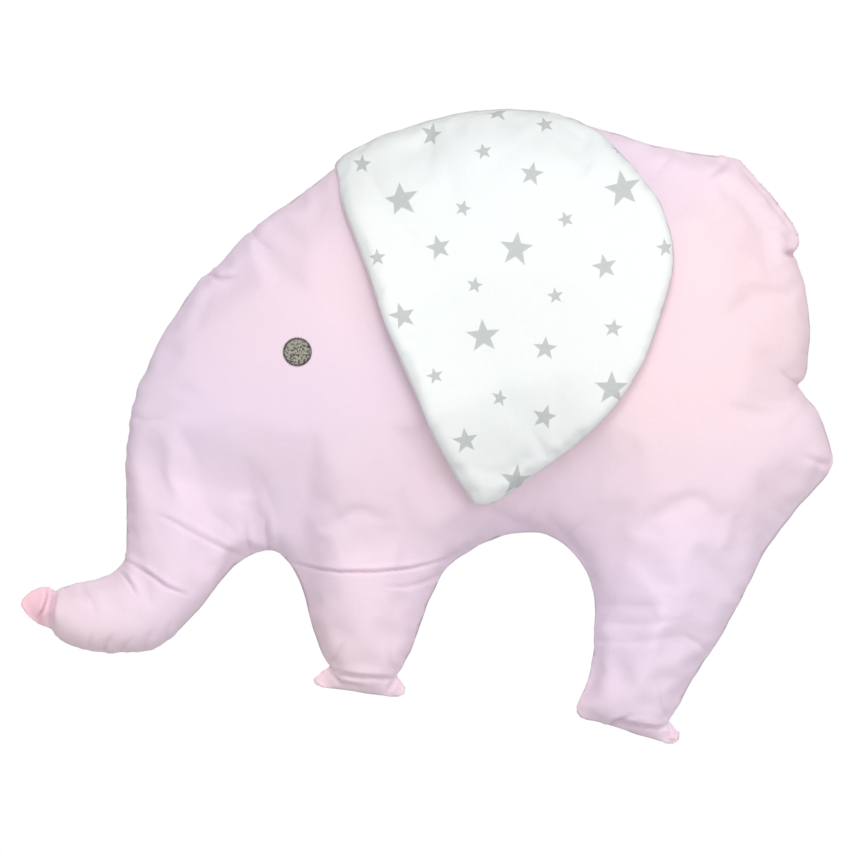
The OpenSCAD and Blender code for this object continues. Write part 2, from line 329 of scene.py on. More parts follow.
@dataclass
class ClothBag:
    """Two cloths with one common edge, as one closed mesh in plain arrays.

    Attributes:
        points: N by 3 places, in mm.
        flat: N by 2 flat places of the same points, in mm.
        faces: M by 3 triangles.
        upper: M flags, True for the triangles of the upper cloth.
        edge: N flags, True on the common edge.
    """

    points: Array
    flat: Array
    faces: Array
    upper: Array
    edge: Array

    @classmethod
    def sewn(cls, cut: FlatCut, upper: Array, lower: Array) -> "ClothBag":
        """Joins two cloths of the same cut along its edge.

        Args:
            cut: The flat cut.
            upper: N by 3 places of the upper cloth.
            lower: N by 3 places of the lower cloth.

        Returns:
            The closed bag.
        """
        count, held = len(cut.places), cut.loop_size
        below = np.r_[np.arange(held), np.arange(held, count) + (count - held)]
        points = np.vstack([upper, lower[held:]])
        flat = np.vstack([cut.places, cut.places[held:]])
        faces = np.vstack([cut.faces, below[cut.faces][:, ::-1]])
        sides = np.r_[np.ones(len(cut.faces), bool), np.zeros(len(cut.faces), bool)]
        edge = np.zeros(len(points), bool)
        edge[:held] = True
        return cls(points, flat, faces, sides, edge)

    def edges(self) -> Array:
        """Returns every pair of joined points once."""
        return joined_pairs(self.faces)

    def normals(self) -> Array:
        """Returns the outward direction at every point."""
        return point_normals(self.points, self.faces)

    def relax(self, rounds: int, strength: float = 0.5, hold: Array | None = None) -> None:
        """Evens the points out towards their neighbours.

        Args:
            rounds: How many times.
            strength: Share of the way to go each time.
            hold: Flags of the points that stay; the common edge if left out.
        """
        hold = self.edge if hold is None else hold
        pairs = self.edges()
        count = np.bincount(pairs.ravel(), minlength=len(self.points))[:, None]
        for _ in range(rounds):
            moved = self.points + strength * (neighbour_sum(self.points, pairs) / count - self.points)
            self.points[~hold] = moved[~hold]

    def refined(self) -> "ClothBag":
        """Returns a finer bag: every triangle divided in four and the result rounded."""
        pairs = self.edges()
        total = len(self.points)
        key = {tuple(pair): total + i for i, pair in enumerate(pairs)}
        opposite = np.zeros((len(pairs), 3))
        a, b, c = self.faces.T
        mids = []
        for first, second, third in ((a, b, c), (b, c, a), (c, a, b)):
            ends = np.sort(np.column_stack([first, second]), axis=1)
            index = np.array([key[tuple(pair)] for pair in ends])
            np.add.at(opposite, index - total, self.points[third])
            mids.append(index)
        ab, bc, ca = mids
        middle = 0.375 * (self.points[pairs[:, 0]] + self.points[pairs[:, 1]]) + 0.125 * opposite
        on_edge = self.edge[pairs[:, 0]] & self.edge[pairs[:, 1]]
        middle[on_edge] = (self.points[pairs[on_edge, 0]] + self.points[pairs[on_edge, 1]]) / 2
        count = np.bincount(pairs.ravel(), minlength=total)[:, None]
        kept = 0.625 * self.points + 0.375 * neighbour_sum(self.points, pairs) / count
        kept[self.edge] = self.points[self.edge]
        flat = np.vstack([self.flat, (self.flat[pairs[:, 0]] + self.flat[pairs[:, 1]]) / 2])
        faces = np.stack([np.column_stack(t) for t in ((a, ab, ca), (ab, b, bc), (ca, bc, c), (ab, bc, ca))],
                         axis=1).reshape(-1, 3)
        return ClothBag(np.vstack([kept, middle]), flat, faces, np.repeat(self.upper, 4),
                        np.r_[self.edge, on_edge])

    def refined_near(self, close: Array) -> "ClothBag":
        """Divides only the triangles near a place.

        Args:
            close: Flags of the points near it.

        Returns:
            The bag with finer triangles there.
        """
        pairs = self.edges()
        pairs = pairs[close[pairs].all(1)]
        total = len(self.points)
        key = {tuple(pair): total + i for i, pair in enumerate(pairs.tolist())}
        faces, upper = [], []
        for corners, is_upper in zip(self.faces.tolist(), self.upper.tolist()):
            mids = [key.get((min(p, q), max(p, q))) for p, q in zip(corners, corners[1:] + corners[:1])]
            split = sum(mid is not None for mid in mids)
            if split == 0:
                parts = [corners]
            elif split == 3:
                (a, b, c), (ab, bc, ca) = corners, mids
                parts = [[a, ab, ca], [ab, b, bc], [ca, bc, c], [ab, bc, ca]]
            else:
                turn = next(k for k in range(3)
                            if mids[k] is not None and (split == 1 or mids[k - 2] is not None))
                a, b, c = corners[turn:] + corners[:turn]
                ab, bc, _ = mids[turn:] + mids[:turn]
                parts = [[a, ab, c], [ab, b, c]] if split == 1 else [[ab, b, bc], [a, ab, bc], [a, bc, c]]
            faces.extend(parts)
            upper.extend([is_upper] * len(parts))
        middle = self.points[pairs].mean(1)
        rim = self.edge[pairs].all(1)
        return ClothBag(np.vstack([self.points, middle]), np.vstack([self.flat, self.flat[pairs].mean(1)]),
                        np.array(faces), np.array(upper), np.r_[self.edge, rim])

    def touching(self, upper: bool) -> Array:
        """Returns flags of the points that the upper or the lower cloth has, with the common edge."""
        flags = np.zeros(len(self.points), bool)
        flags[self.faces[self.upper == upper].ravel()] = True
        return flags

    def cloth(self, upper: bool) -> tuple[Array, Array, Array]:
        """Takes one cloth out of the bag.

        Args:
            upper: True for the upper cloth.

        Returns:
            Its points, faces and the index of each point in the bag.
        """
        faces = self.faces[self.upper == upper]
        used, compact = np.unique(faces, return_inverse=True)
        return self.points[used], compact.reshape(-1, 3), used


def point_normals(points: Array, faces: Array) -> Array:
    """Returns the area-weighted normal at each point of a triangle mesh."""
    a, b, c = (points[faces[:, k]] for k in range(3))
    normal = np.cross(b - a, c - a)
    total = np.zeros_like(points)
    for k in range(3):
        np.add.at(total, faces[:, k], normal)
    return total / np.maximum(np.linalg.norm(total, axis=1, keepdims=True), 1e-12)


# ---- Making objects --------------------


def deselect_all() -> None:
    """Leaves nothing selected and no active object."""
    for thing in bpy.context.selected_objects:
        thing.select_set(False)
    bpy.context.view_layer.objects.active = None


def select_only(thing: Piece) -> None:
    """Selects one object and makes it active."""
    deselect_all()
    thing.select_set(True)
    bpy.context.view_layer.objects.active = thing


def linked(name: str, data: bpy.types.ID) -> Piece:
    """Makes an object of some data and links it to the scene."""
    thing = bpy.data.objects.new(name, data)
    bpy.context.scene.collection.objects.link(thing)
    return thing


def shade_smooth(mesh: bpy.types.Mesh) -> None:
    """Shades every face of a mesh smooth."""
    mesh.polygons.foreach_set("use_smooth", np.ones(len(mesh.polygons), bool))


def vertex_rows(mesh: bpy.types.Mesh, what: str = "co") -> Array:
    """Returns the places or the normals of a mesh's vertices, N by 3."""
    values = np.empty(len(mesh.vertices) * 3)
    mesh.vertices.foreach_get(what, values)
    return values.reshape(-1, 3)


def move_vertices(mesh: bpy.types.Mesh, places: Array) -> None:
    """Moves a mesh's vertices to N by 3 places, in mm."""
    mesh.vertices.foreach_set("co", (places * MM).astype(np.float32).ravel())
    mesh.update()


def set_cut_map(mesh: bpy.types.Mesh, flat: Array) -> None:
    """Lays the cloth's own map on a mesh.

    Args:
        mesh: The mesh.
        flat: N by 2 flat places of its vertices, in metres.
    """
    layer = mesh.uv_layers.get(CUT_MAP) or mesh.uv_layers.new(name=CUT_MAP)
    corners = np.zeros(len(mesh.loops), np.int32)
    mesh.loops.foreach_get("vertex_index", corners)
    layer.data.foreach_set("uv", flat[corners].astype(np.float32).ravel())


def join_copies(copies: list[Piece], name: str) -> Piece:
    """Joins objects into one smooth-shaded piece.

    Args:
        copies: The objects.
        name: The piece's name.

    Returns:
        The piece.
    """
    deselect_all()
    for copy in copies:
        copy.select_set(True)
    bpy.context.view_layer.objects.active = copies[0]
    bpy.ops.object.join()
    joined = bpy.context.active_object
    joined.name = joined.data.name = name
    outward(joined)
    shade_smooth(joined.data)
    return joined


def object_from(name: str, points: Array, faces: list | Array, flat: Array | None = None,
                marks: dict[str, Array] | None = None) -> Piece:
    """Makes a smooth-shaded object.

    Args:
        name: The object's name.
        points: N by 3 places, in mm.
        faces: Its faces as rows of point numbers.
        flat: N by 2 flat places of the points, in mm, for the pattern that follows the cloth.
        marks: Values from 0 to 1 at the points, by the name of the attribute that holds them.

    Returns:
        The object, linked to the scene.
    """
    mesh = bpy.data.meshes.new(name)
    rows = faces.tolist() if isinstance(faces, Array) else faces
    mesh.from_pydata((points * MM).tolist(), [], rows)
    shade_smooth(mesh)
    if flat is not None:
        set_cut_map(mesh, flat * MM)
    for mark, values in (marks or {}).items():
        mesh.attributes.new(mark, "FLOAT", "POINT").data.foreach_set("value", values.astype(np.float32))
    mesh.update()
    return linked(name, mesh)


def thick_cloth(name: str, points: Array, faces: Array, flat: Array, thickness: float,
                marks: dict[str, Array]) -> Piece:
    """Gives an open cloth its thickness on the inner side and closes its edge.

    Args:
        name: The object's name.
        points: Outer points, in mm.
        faces: Outer triangles.
        flat: Flat places of the outer points, in mm.
        thickness: Cloth thickness, in mm.
        marks: Values at the outer points, by attribute name.

    Returns:
        The closed cloth.
    """
    count = len(points)
    inner = points - thickness * point_normals(points, faces)
    directed = directed_edges(faces)
    codes = directed[:, 0].astype(np.int64) * count + directed[:, 1]
    back_codes = directed[:, 1].astype(np.int64) * count + directed[:, 0]
    rim = directed[~np.isin(codes, back_codes)]
    walls = [(b, a, a + count, b + count) for a, b in rim.tolist()]
    rows = faces.tolist() + (faces[:, ::-1] + count).tolist() + walls
    return object_from(name, np.vstack([points, inner]), rows, np.vstack([flat, flat]),
                       {mark: np.r_[values, values] for mark, values in marks.items()})


def finish_piece(thing: Piece, body: str, material: bpy.types.Material, slot: str,
                 *nodes: str) -> Piece:
    """Dresses a piece, hangs it on its body and lets it stand for its nodes.

    Args:
        thing: The piece.
        body: The body that it rides on.
        material: Its finish.
        slot: Not used.
        nodes: The plain nodes that it replaces.

    Returns:
        The same piece.
    """
    thing.data.materials.clear()
    thing.data.materials.append(material)
    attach(thing, body)
    stand_for(thing, slot, *nodes)
    return thing


def stand_for(thing: Piece, slot: str, *nodes: str) -> None:
    """Hides the plain nodes that a piece replaces, and reports the piece."""
    if nodes:
        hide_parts(*nodes)
    log.info("%s: %d points, %d faces", thing.name, len(thing.data.vertices), len(thing.data.polygons))


@dataclass
class Inflation:
    """How hard a sewn bag is blown up by its filling.

    Attributes:
        pressure: Push of the filling on the cloth.
        slack: Share by which the cloth is larger than its starting shape.
        frames: Steps to run.
        cap: Farthest that a point may move, in mm.
        bending: Resistance of the cloth to creasing.
        stretching: Resistance of the cloth to stretching and squashing.
        shearing: Resistance of the cloth to being pulled askew.
        weight: Mass of each point.
        care: Steps that the solver takes for each frame.
    """

    pressure: float = 4.0
    slack: float = 0.03
    frames: int = 20
    cap: float = 7.0
    bending: float = 0.6
    stretching: float = 20.0
    shearing: float = 8.0
    weight: float = 0.2
    care: int = 6

    def run(self, bag: ClothBag, held: Array) -> None:
        """Blows the bag up.

        Args:
            bag: The bag, changed in place.
            held: Flags of the points that stay where they are.
        """
        scene = bpy.context.scene
        thing = object_from("bag_in_work", bag.points, bag.faces)
        group = thing.vertex_groups.new(name="held")
        group.add(np.flatnonzero(held).tolist(), 1.0, "REPLACE")
        cloth = thing.modifiers.new("cloth", "CLOTH")
        cloth.point_cache.frame_start, cloth.point_cache.frame_end = 1, self.frames
        settings = cloth.settings
        settings.quality = self.care
        settings.mass = self.weight
        settings.tension_stiffness = settings.compression_stiffness = self.stretching
        settings.shear_stiffness = self.shearing
        settings.bending_stiffness = self.bending
        settings.use_pressure = True
        settings.uniform_pressure_force = self.pressure
        settings.shrink_min = -self.slack
        settings.effector_weights.gravity = 0
        settings.vertex_group_mass = "held"
        for step in range(1, self.frames + 1):
            scene.frame_set(step)
        select_only(thing)
        bpy.ops.object.modifier_apply(modifier=cloth.name)
        travel = vertex_rows(thing.data) / MM - bag.points
        far = np.linalg.norm(travel, axis=1, keepdims=True)
        log.info("inflation: %d points, farthest %.1f mm", len(bag.points), far.max())
        bag.points += travel * np.minimum(1, self.cap / np.maximum(far, TINY)) * ~held[:, None]
        bpy.data.objects.remove(thing)
        scene.frame_set(1)


# ---- Finishes --------------------


class NodeBench:
    """Adds nodes to one tree and joins them."""

    def __init__(self, tree: bpy.types.NodeTree) -> None:
        """Takes the tree to work on."""
        self.tree = tree

    def node(self, kind: str, inputs: dict | None = None, **settings: object) -> bpy.types.Node:
        """Adds a node.

        Args:
            kind: The node's type name, without its ShaderNode prefix.
            inputs: Values or sockets for its inputs, by name or number.
            settings: Its own properties.

        Returns:
            The node.
        """
        made = self.tree.nodes.new("ShaderNode" + kind)
        for key, value in settings.items():
            setattr(made, key, value)
        self.plug(made, inputs or {})
        return made

    def plug(self, node: bpy.types.Node, inputs: dict) -> None:
        """Sets a node's inputs.

        Args:
            node: The node.
            inputs: Values or sockets for its inputs, by name or number.
        """
        for key, value in inputs.items():
            if isinstance(value, Socket):
                self.tree.links.new(value, node.inputs[key])
            else:
                node.inputs[key].default_value = value

    def math(self, operation: str, first: object, second: object = 0.0, third: object = 0.0,
             clamp: bool = False) -> Socket:
        """Adds a Math node and returns its output."""
        made = self.node("Math", {0: first, 1: second, 2: third}, operation=operation, use_clamp=clamp)
        return made.outputs[0]

    def mix(self, share: object, first: object, second: object, blend: str = "MIX") -> Socket:
        """Adds a colour Mix node and returns its colour."""
        made = self.node("Mix", {0: share, 6: first, 7: second}, data_type="RGBA", blend_type=blend)
        return made.outputs[2]

    def product(self, first: object, second: object) -> Socket:
        """Multiplies two vectors or colours part by part and returns the result."""
        return self.node("VectorMath", {0: first, 1: second}, operation="MULTIPLY").outputs[0]

    def ranged(self, value: object, low: float, high: float, start: float, end: float) -> Socket:
        """Adds a Map Range node from low and high to start and end, and returns its value."""
        return self.node("MapRange", {0: value, 1: low, 2: high, 3: start, 4: end}).outputs[0]

    def noise(self, place: Socket, scale: object, detail: float = 2.0, **more: float) -> Socket:
        """Adds a Noise Texture node and returns its value."""
        return self.node("TexNoise", {"Vector": place, "Scale": scale, "Detail": detail, **more}).outputs[0]

    def bump(self, height: object, strength: float, distance: float, **more: object) -> Socket:
        """Adds a Bump node and returns its normal."""
        return self.node("Bump", {"Height": height, "Strength": strength, "Distance": distance,
                                  **more}).outputs[0]

    def object_place(self) -> Socket:
        """Returns the place on the object, in metres."""
        return self.node("TexCoord").outputs["Object"]


def new_group(name: str, inputs: dict[str, str], outputs: dict[str, str]
              ) -> tuple[bpy.types.NodeTree, NodeBench, bpy.types.Node, bpy.types.Node]:
    """Starts a shader node group.

    Args:
        name: The group's name.
        inputs: Socket types by input name.
        outputs: Socket types by output name.

    Returns:
        The group, a bench on it, its input node and its output node.
    """
    tree = bpy.data.node_groups.new(name, "ShaderNodeTree")
    for direction, sockets in (("INPUT", inputs), ("OUTPUT", outputs)):
        for socket, kind in sockets.items():
            tree.interface.new_socket(socket, in_out=direction, socket_type="NodeSocket" + kind)
    return tree, NodeBench(tree), tree.nodes.new("NodeGroupInput"), tree.nodes.new("NodeGroupOutput")


def new_finish(name: str) -> tuple[bpy.types.Material, NodeBench, bpy.types.Node]:
    """Starts a material.

    Args:
        name: The material's name.

    Returns:
        The material, a bench on its nodes and its main shader.
    """
    made = bpy.data.materials.new(name)
    made.use_nodes = True
    return made, NodeBench(made.node_tree), made.node_tree.nodes["Principled BSDF"]


@lru_cache(maxsize=None)
def weave_group() -> bpy.types.NodeTree:
    """Returns the group with the height of a plain weave and a mask of its thicker threads."""
    tree, bench, start, end = new_group(
        "plain_weave", {"Place": "Vector", "Threads": "Float"}, {"Height": "Float", "Slubs": "Float"})
    place, threads = start.outputs["Place"], start.outputs["Threads"]
    parts = bench.node("SeparateXYZ", {0: place}).outputs
    turn = bench.math("MULTIPLY", threads, 2 * math.pi)
    warp = bench.math("SINE", bench.math("MULTIPLY", parts[0], turn))
    weft = bench.math("SINE", bench.math("MULTIPLY", parts[1], turn))
    over = bench.math("MULTIPLY_ADD", bench.math("MULTIPLY", warp, weft), 0.5, 0.5)
    slow, fast = 90.0, 2200.0
    slubs = [bench.noise(bench.product(place, scale), 1.0, Roughness=0.6)
             for scale in ((slow, fast, 1.0), (fast, slow, 1.0))]
    thick = bench.math("MULTIPLY", bench.math("ADD", *slubs), 0.5)
    height = bench.math("MULTIPLY_ADD", thick, 0.9, bench.math("MULTIPLY", over, 0.45))
    tree.links.new(height, end.inputs["Height"])
    tree.links.new(thick, end.inputs["Slubs"])
    return tree


# Painted light and shade: places where the cotton has more or less of its second colour, standing in for how
# the
# light falls there: centre, inner and outer reach in metres, and how much more.
PAINTED_LIGHT_AND_SHADE_PLACES = (
    ((-0.165, -0.03, 0.06), 0.02, 0.16, 0.36),
    ((0.15, -0.12, 0.06), 0.01, 0.15, 0.13),
    ((0.16, 0.09, 0.06), 0.04, 0.16, -0.22),
)


@lru_cache(maxsize=None)
def drift_group() -> bpy.types.NodeTree:
    """Returns the group with cotton's broad colour patches, partly painted light and shade, and its crumples'
    height.
    """
    tree, bench, start, end = new_group(
        "cotton_tone_and_painted_shade", {"Place": "Vector", "Patch": "Float"}, {"Patches": "Float", "Crumple": "Float"})
    place = start.outputs["Place"]
    share = bench.noise(place, start.outputs["Patch"], Roughness=0.45)
    # painted light and shade: more or less of the second colour at the places listed above
    for centre, near, far, more in PAINTED_LIGHT_AND_SHADE_PLACES:
        gap = bench.node("VectorMath", {0: place, 1: centre}, operation="DISTANCE").outputs["Value"]
        share = bench.math("ADD", share, bench.ranged(gap, near, far, more, 0.0))
    crumple = bench.noise(place, 70.0, 3.0, Roughness=0.5, Distortion=0.4)
    tree.links.new(bench.ranged(share, 0.30, 0.84, 0.0, 1.0), end.inputs["Patches"])
    tree.links.new(crumple, end.inputs["Crumple"])
    return tree


@lru_cache(maxsize=None)
def star_group() -> bpy.types.NodeTree:
    """Returns the group that gives 1 inside a five-pointed star of some centre, size and turn."""
    tree, bench, start, end = new_group(
        "printed_star", {"Place": "Vector", "Centre": "Vector", "Radius": "Float", "Turn": "Float"},
        {"Ink": "Float"})
    offset = bench.node("VectorMath", {0: start.outputs["Place"], 1: start.outputs["Centre"]},
                        operation="SUBTRACT").outputs[0]
    parts = bench.node("SeparateXYZ", {0: offset}).outputs
    reach = bench.node("VectorMath", {0: offset}, operation="LENGTH").outputs["Value"]
    angle = bench.math("ADD", bench.math("ARCTAN2", parts[0], parts[1]), start.outputs["Turn"])
    sector = 2 * math.pi / 5
    folded = bench.math("PINGPONG", angle, sector / 2)
    radius = bench.math("DIVIDE", reach, start.outputs["Radius"])
    across = bench.math("MULTIPLY", radius, bench.math("COSINE", folded))
    up = bench.math("MULTIPLY", radius, bench.math("SINE", folded))
    inner = 0.42
    notch = (inner * math.cos(sector / 2), inner * math.sin(sector / 2))
    run, rise = 1 - notch[0], notch[1]
    length = math.hypot(run, rise)
    edge = bench.math("ADD", bench.math("MULTIPLY", bench.math("SUBTRACT", across, 1.0), rise / length),
                      bench.math("MULTIPLY", up, run / length))
    soft = 0.03
    tree.links.new(bench.ranged(edge, soft, -soft, 0.0, 1.0), end.inputs["Ink"])
    return tree


@dataclass(frozen=True)
class Star:
    """One printed star: its centre and size in mm, and its turn in degrees."""

    x: float
    y: float
    width: float
    turn: float


# Reach of a star's points from its centre, as a share of its width.
STAR_REACH = 0.525
STARS = tuple(Star(*row) for row in (
    (-51.5, 123.5, 20, 8), (26.5, 104.5, 20, -6), (14.5, 46.5, 21, 4), (86.5, 153.5, 21, 10),
    (100.5, 27.5, 20, 0), (50.5, -40.5, 20, -8), (0.5, 189.5, 14, 5), (-38.5, 168.5, 14, -12),
    (-22.5, 97.5, 15, 14), (28.5, 153.5, 14, -10), (83.5, 102.5, 15, 12), (54.5, 45.5, 15, -4),
    (-37.5, 50.5, 15, 16), (61.5, 2.5, 15, -14), (14.5, -20.5, 15, 6), (-4.5, 162.5, 10, 12),
    (-11.5, 124.5, 10, -16), (54.5, 128.5, 10, 20), (-59.5, 84.5, 10, 4), (4.5, 77.5, 10, -10),
    (55.5, 79.5, 10, 8), (95.5, 65.5, 11, -6), (-11.5, 16.5, 10, 15), (31.5, 9.5, 10, -12),
    (119.5, 121.5, 11, 8), (-79.5, 142.5, 11, -4), (31.5, 186.5, 11, 10), (81.5, 179.5, 10, 12),
))


@dataclass(frozen=True)
class Cotton:
    """Plain woven cotton.

    Attributes:
        name: The finish's name.
        colour: Main colour, linear.
        second: Colour of the broad paler or cooler patches, linear; some fall at random, some are placed as
            painted light and shade.
        deep: Colour where two layers lie together at a seam, linear.
        threads: Threads for each metre.
        weave: Height of the weave, in metres.
        patch: Patches for each metre.
        stars: What is printed on it.
        ink: Colour of the print, linear.
        fold: Colour of the painted shade at the bottom of a fold; it multiplies the colour, linear.
        fold_share: How much of that painted shade shows in the deepest fold.
        crumple: Height of the small crumples, in metres.
        fuzz: Share of light that the loose fibres catch.
        gloss: Strength of the plain reflection.
    """

    name: str
    colour: Vec3
    second: Vec3
    deep: Vec3
    threads: float = 2600.0
    weave: float = 0.00012
    patch: float = 5.0
    stars: tuple[Star, ...] = ()
    ink: Vec3 = (0.5, 0.5, 0.5)
    fold: Vec3 = (0.74, 0.66, 0.76)
    fold_share: float = 0.8
    crumple: float = 0.0012
    fuzz: float = 0.04
    gloss: float = 0.15

    def material(self) -> bpy.types.Material:
        """Builds the finish and returns its material."""
        made, bench, shader = new_finish(self.name)
        cut = bench.node("UVMap", uv_map=CUT_MAP).outputs[0]
        weave = bench.node("Group", node_tree=weave_group())
        bench.plug(weave, {"Place": cut, "Threads": self.threads})
        slubs = weave.outputs["Slubs"]
        tone_shade_and_crumple = bench.node("Group", node_tree=drift_group())
        bench.plug(tone_shade_and_crumple, {"Place": bench.object_place(), "Patch": self.patch})
        # broad patches of the second colour: random tone, and painted light and shade at the places listed
        colour = bench.mix(tone_shade_and_crumple.outputs["Patches"], (*self.colour, 1), (*self.second, 1))
        if self.stars:
            colour = bench.mix(self.print_mask(bench, cut), colour, (*self.ink, 1))
        tint = bench.node("Attribute", attribute_name=TINT).outputs["Fac"]
        colour = bench.mix(tint, colour, (*self.deep, 1))
        # painted shade: the fold_shade attribute darkens the colour at the bottom of folds and along the
        # ear's sewn edge
        fold = bench.node("Attribute", attribute_name=FOLD).outputs["Fac"]
        colour = bench.mix(bench.math("MULTIPLY", fold, self.fold_share), colour, (*self.fold, 1),
                           "MULTIPLY")
        crumple = bench.bump(tone_shade_and_crumple.outputs["Crumple"], 0.22, self.crumple)
        bench.plug(shader, {
            "Base Color": bench.product(colour, bench.ranged(slubs, 0.3, 0.7, 0.965, 1.025)),
            "Roughness": bench.ranged(slubs, 0.3, 0.7, 0.92, 0.8),
            "Normal": bench.bump(weave.outputs["Height"], 0.4, self.weave, Normal=crumple),
            "Sheen Weight": self.fuzz, "Sheen Roughness": 0.5, "Specular IOR Level": self.gloss})
        return made

    def print_mask(self, bench: NodeBench, cut: Socket) -> Socket:
        """Adds the printed stars.

        Args:
            bench: The material's bench.
            cut: The flat place on the cloth.

        Returns:
            A mask that is 1 where there is ink, a little worn.
        """
        total = None
        for star in self.stars:
            node = bench.node("Group", node_tree=star_group())
            bench.plug(node, {"Place": cut, "Centre": (star.x * MM, star.y * MM, 0),
                              "Radius": star.width * MM * STAR_REACH,
                              "Turn": math.radians(star.turn + PICTURE_TURN)})
            ink = node.outputs["Ink"]
            total = ink if total is None else bench.math("MAXIMUM", total, ink)
        cover = bench.ranged(bench.noise(cut, 900.0), 0.25, 0.6, 0.82, 1.0)
        return bench.math("MULTIPLY", total, cover, clamp=True)


@dataclass(frozen=True)
class Thread:
    """Twisted sewing or embroidery thread.

    Attributes:
        name: The finish's name.
        colour: Main colour, linear.
        second: Colour of the darker strands, linear.
        twist: Turns of the ply for each unit of the strand's own map.
        groove: Depth between two plies, in metres.
    """

    name: str
    colour: Vec3
    second: Vec3
    twist: float = 7.0
    groove: float = 0.00015

    def material(self) -> bpy.types.Material:
        """Builds the finish and returns its material."""
        made, bench, shader = new_finish(self.name)
        parts = bench.node("SeparateXYZ", {0: bench.node("UVMap", uv_map="UVMap").outputs[0]}).outputs
        phase = bench.math("ADD", bench.math("MULTIPLY", parts[0], 2.0),
                           bench.math("MULTIPLY", parts[1], self.twist))
        ply = bench.math("MULTIPLY_ADD", bench.math("SINE", bench.math("MULTIPLY", phase, 2 * math.pi)),
                         0.5, 0.5)
        dark = bench.ranged(bench.noise(bench.object_place(), 800.0), 0.46, 0.58, 0.0, 1.0)
        colour = bench.mix(dark, (*self.colour, 1), (*self.second, 1))
        # painted shade and highlight: the colour is darker in the grooves between plies and lighter on their
        # crests
        bench.plug(shader, {
            "Base Color": bench.product(colour, bench.ranged(ply, 0.0, 1.0, 0.8, 1.08)),
            "Normal": bench.bump(ply, 0.5, self.groove), "Roughness": 0.5, "Sheen Weight": 0.1})
        return made


@dataclass(frozen=True)
class Fibre:
    """Loose polyester fibre or felted wadding: name, colour, and a tuft's size and height in metres."""

    name: str
    colour: Vec3 = (0.86, 0.86, 0.84)
    tuft: float = 0.008
    loft: float = 0.0015

    def material(self) -> bpy.types.Material:
        """Builds the finish and returns its material."""
        made, bench, shader = new_finish(self.name)
        place = bench.object_place()
        tufts = bench.noise(place, 1 / self.tuft, 5.0, Roughness=0.7, Distortion=1.2)
        strands = bench.noise(bench.product(place, (220.0, 1500.0, 500.0)), 1.0, 3.0)
        height = bench.math("ADD", tufts, bench.math("MULTIPLY", strands, 0.5))
        # painted shade and highlight: the colour is darker where the fibre lies low and lighter where tufts
        # stand high
        bench.plug(shader, {
            "Base Color": bench.product(self.colour, bench.ranged(height, 0.4, 1.1, 0.78, 1.06)),
            "Normal": bench.bump(height, 0.8, self.loft), "Roughness": 0.95, "Sheen Weight": 0.4})
        return made


@dataclass
class Wardrobe:
    """Every finish of the elephant, each built once."""

    pink: Cotton = Cotton("pink_cotton", (0.90, 0.705, 0.76), (0.83, 0.70, 0.86), (0.96, 0.62, 0.70))
    star: Cotton = Cotton("star_cotton", (0.855, 0.88, 0.87), (0.83, 0.865, 0.87), (0.88, 0.80, 0.83),
                          stars=STARS, ink=(0.515, 0.545, 0.54))
    lining: Cotton = Cotton("ear_lining_cotton", (0.86, 0.875, 0.865), (0.83, 0.85, 0.86), (0.85, 0.78, 0.81),
                            patch=9.0)
    sewing: Thread = Thread("pink_thread", (0.85, 0.60, 0.70), (0.78, 0.52, 0.63))
    satin: Thread = Thread("eye_thread", (0.43, 0.44, 0.345), (0.10, 0.065, 0.08))
    whip: Thread = Thread("eye_rim_thread", (0.13, 0.085, 0.10), (0.06, 0.03, 0.045))
    filling: Fibre = Fibre("fibre_filling")
    wadding: Fibre = Fibre("wadding", (0.88, 0.88, 0.86), 0.004)
    made: dict[str, bpy.types.Material] = field(default_factory=dict)

    def material(self, finish: Cotton | Thread | Fibre) -> bpy.types.Material:
        """Returns the finish's material, building it the first time."""
        if finish.name not in self.made:
            self.made[finish.name] = finish.material()
        return self.made[finish.name]


# ---- The stuffed body --------------------


@dataclass(frozen=True)
class Crease:
    """A fold pressed into the cloth.

    Attributes:
        path: Its line, in mm.
        depth: How deep, in mm.
        width: How wide, in mm.
        lip: Height of the roll beside it, as a share of its depth.
        side: Which side of the line the roll is on: 1 left, -1 right, 0 both.
    """

    path: Run
    depth: float
    width: float
    lip: float = 0.5
    side: int = 0

    def measured(self, places: Array) -> tuple[Array, Array, Array]:
        """Returns the distance to the line, its fade towards both ends, and the side of the line."""
        line = np.array(self.path, float)
        gap, _, along, side = nearest_on_line(places, line, False)
        length = np.linalg.norm(np.diff(line, axis=0), axis=1).sum()
        fade = np.clip(np.sin(np.pi * np.clip(along / length, 0.03, 0.97)), 0, 1) ** 0.6
        return gap, fade, side

    def press(self, places: Array) -> Array:
        """Measures the fold.

        Args:
            places: N by 2 places, in mm.

        Returns:
            How far out each place moves, in mm; the fold itself is negative.
        """
        gap, fade, side = self.measured(places)
        groove = -self.depth * np.exp(-(gap / self.width) ** 1.4)
        roll = self.depth * self.lip * np.exp(-((gap - 2.1 * self.width) / (1.3 * self.width)) ** 2)
        if self.side:
            roll = np.where(side == self.side, roll, 0.2 * roll)
        return (groove + roll) * fade

    def shade(self, places: Array) -> Array:
        """Returns how much painted shade the bottom of the fold lays on the cloth, from 0 to 1."""
        gap, fade, _ = self.measured(places)
        sharp = min(1.0, self.depth / (1.3 * self.width))
        return sharp * fade * np.exp(-(gap / (0.55 * self.width)) ** 2)


def creases(*rows: tuple) -> tuple[Crease, ...]:
    """Returns a crease for each row of its values."""
    return tuple(Crease(*row) for row in rows)


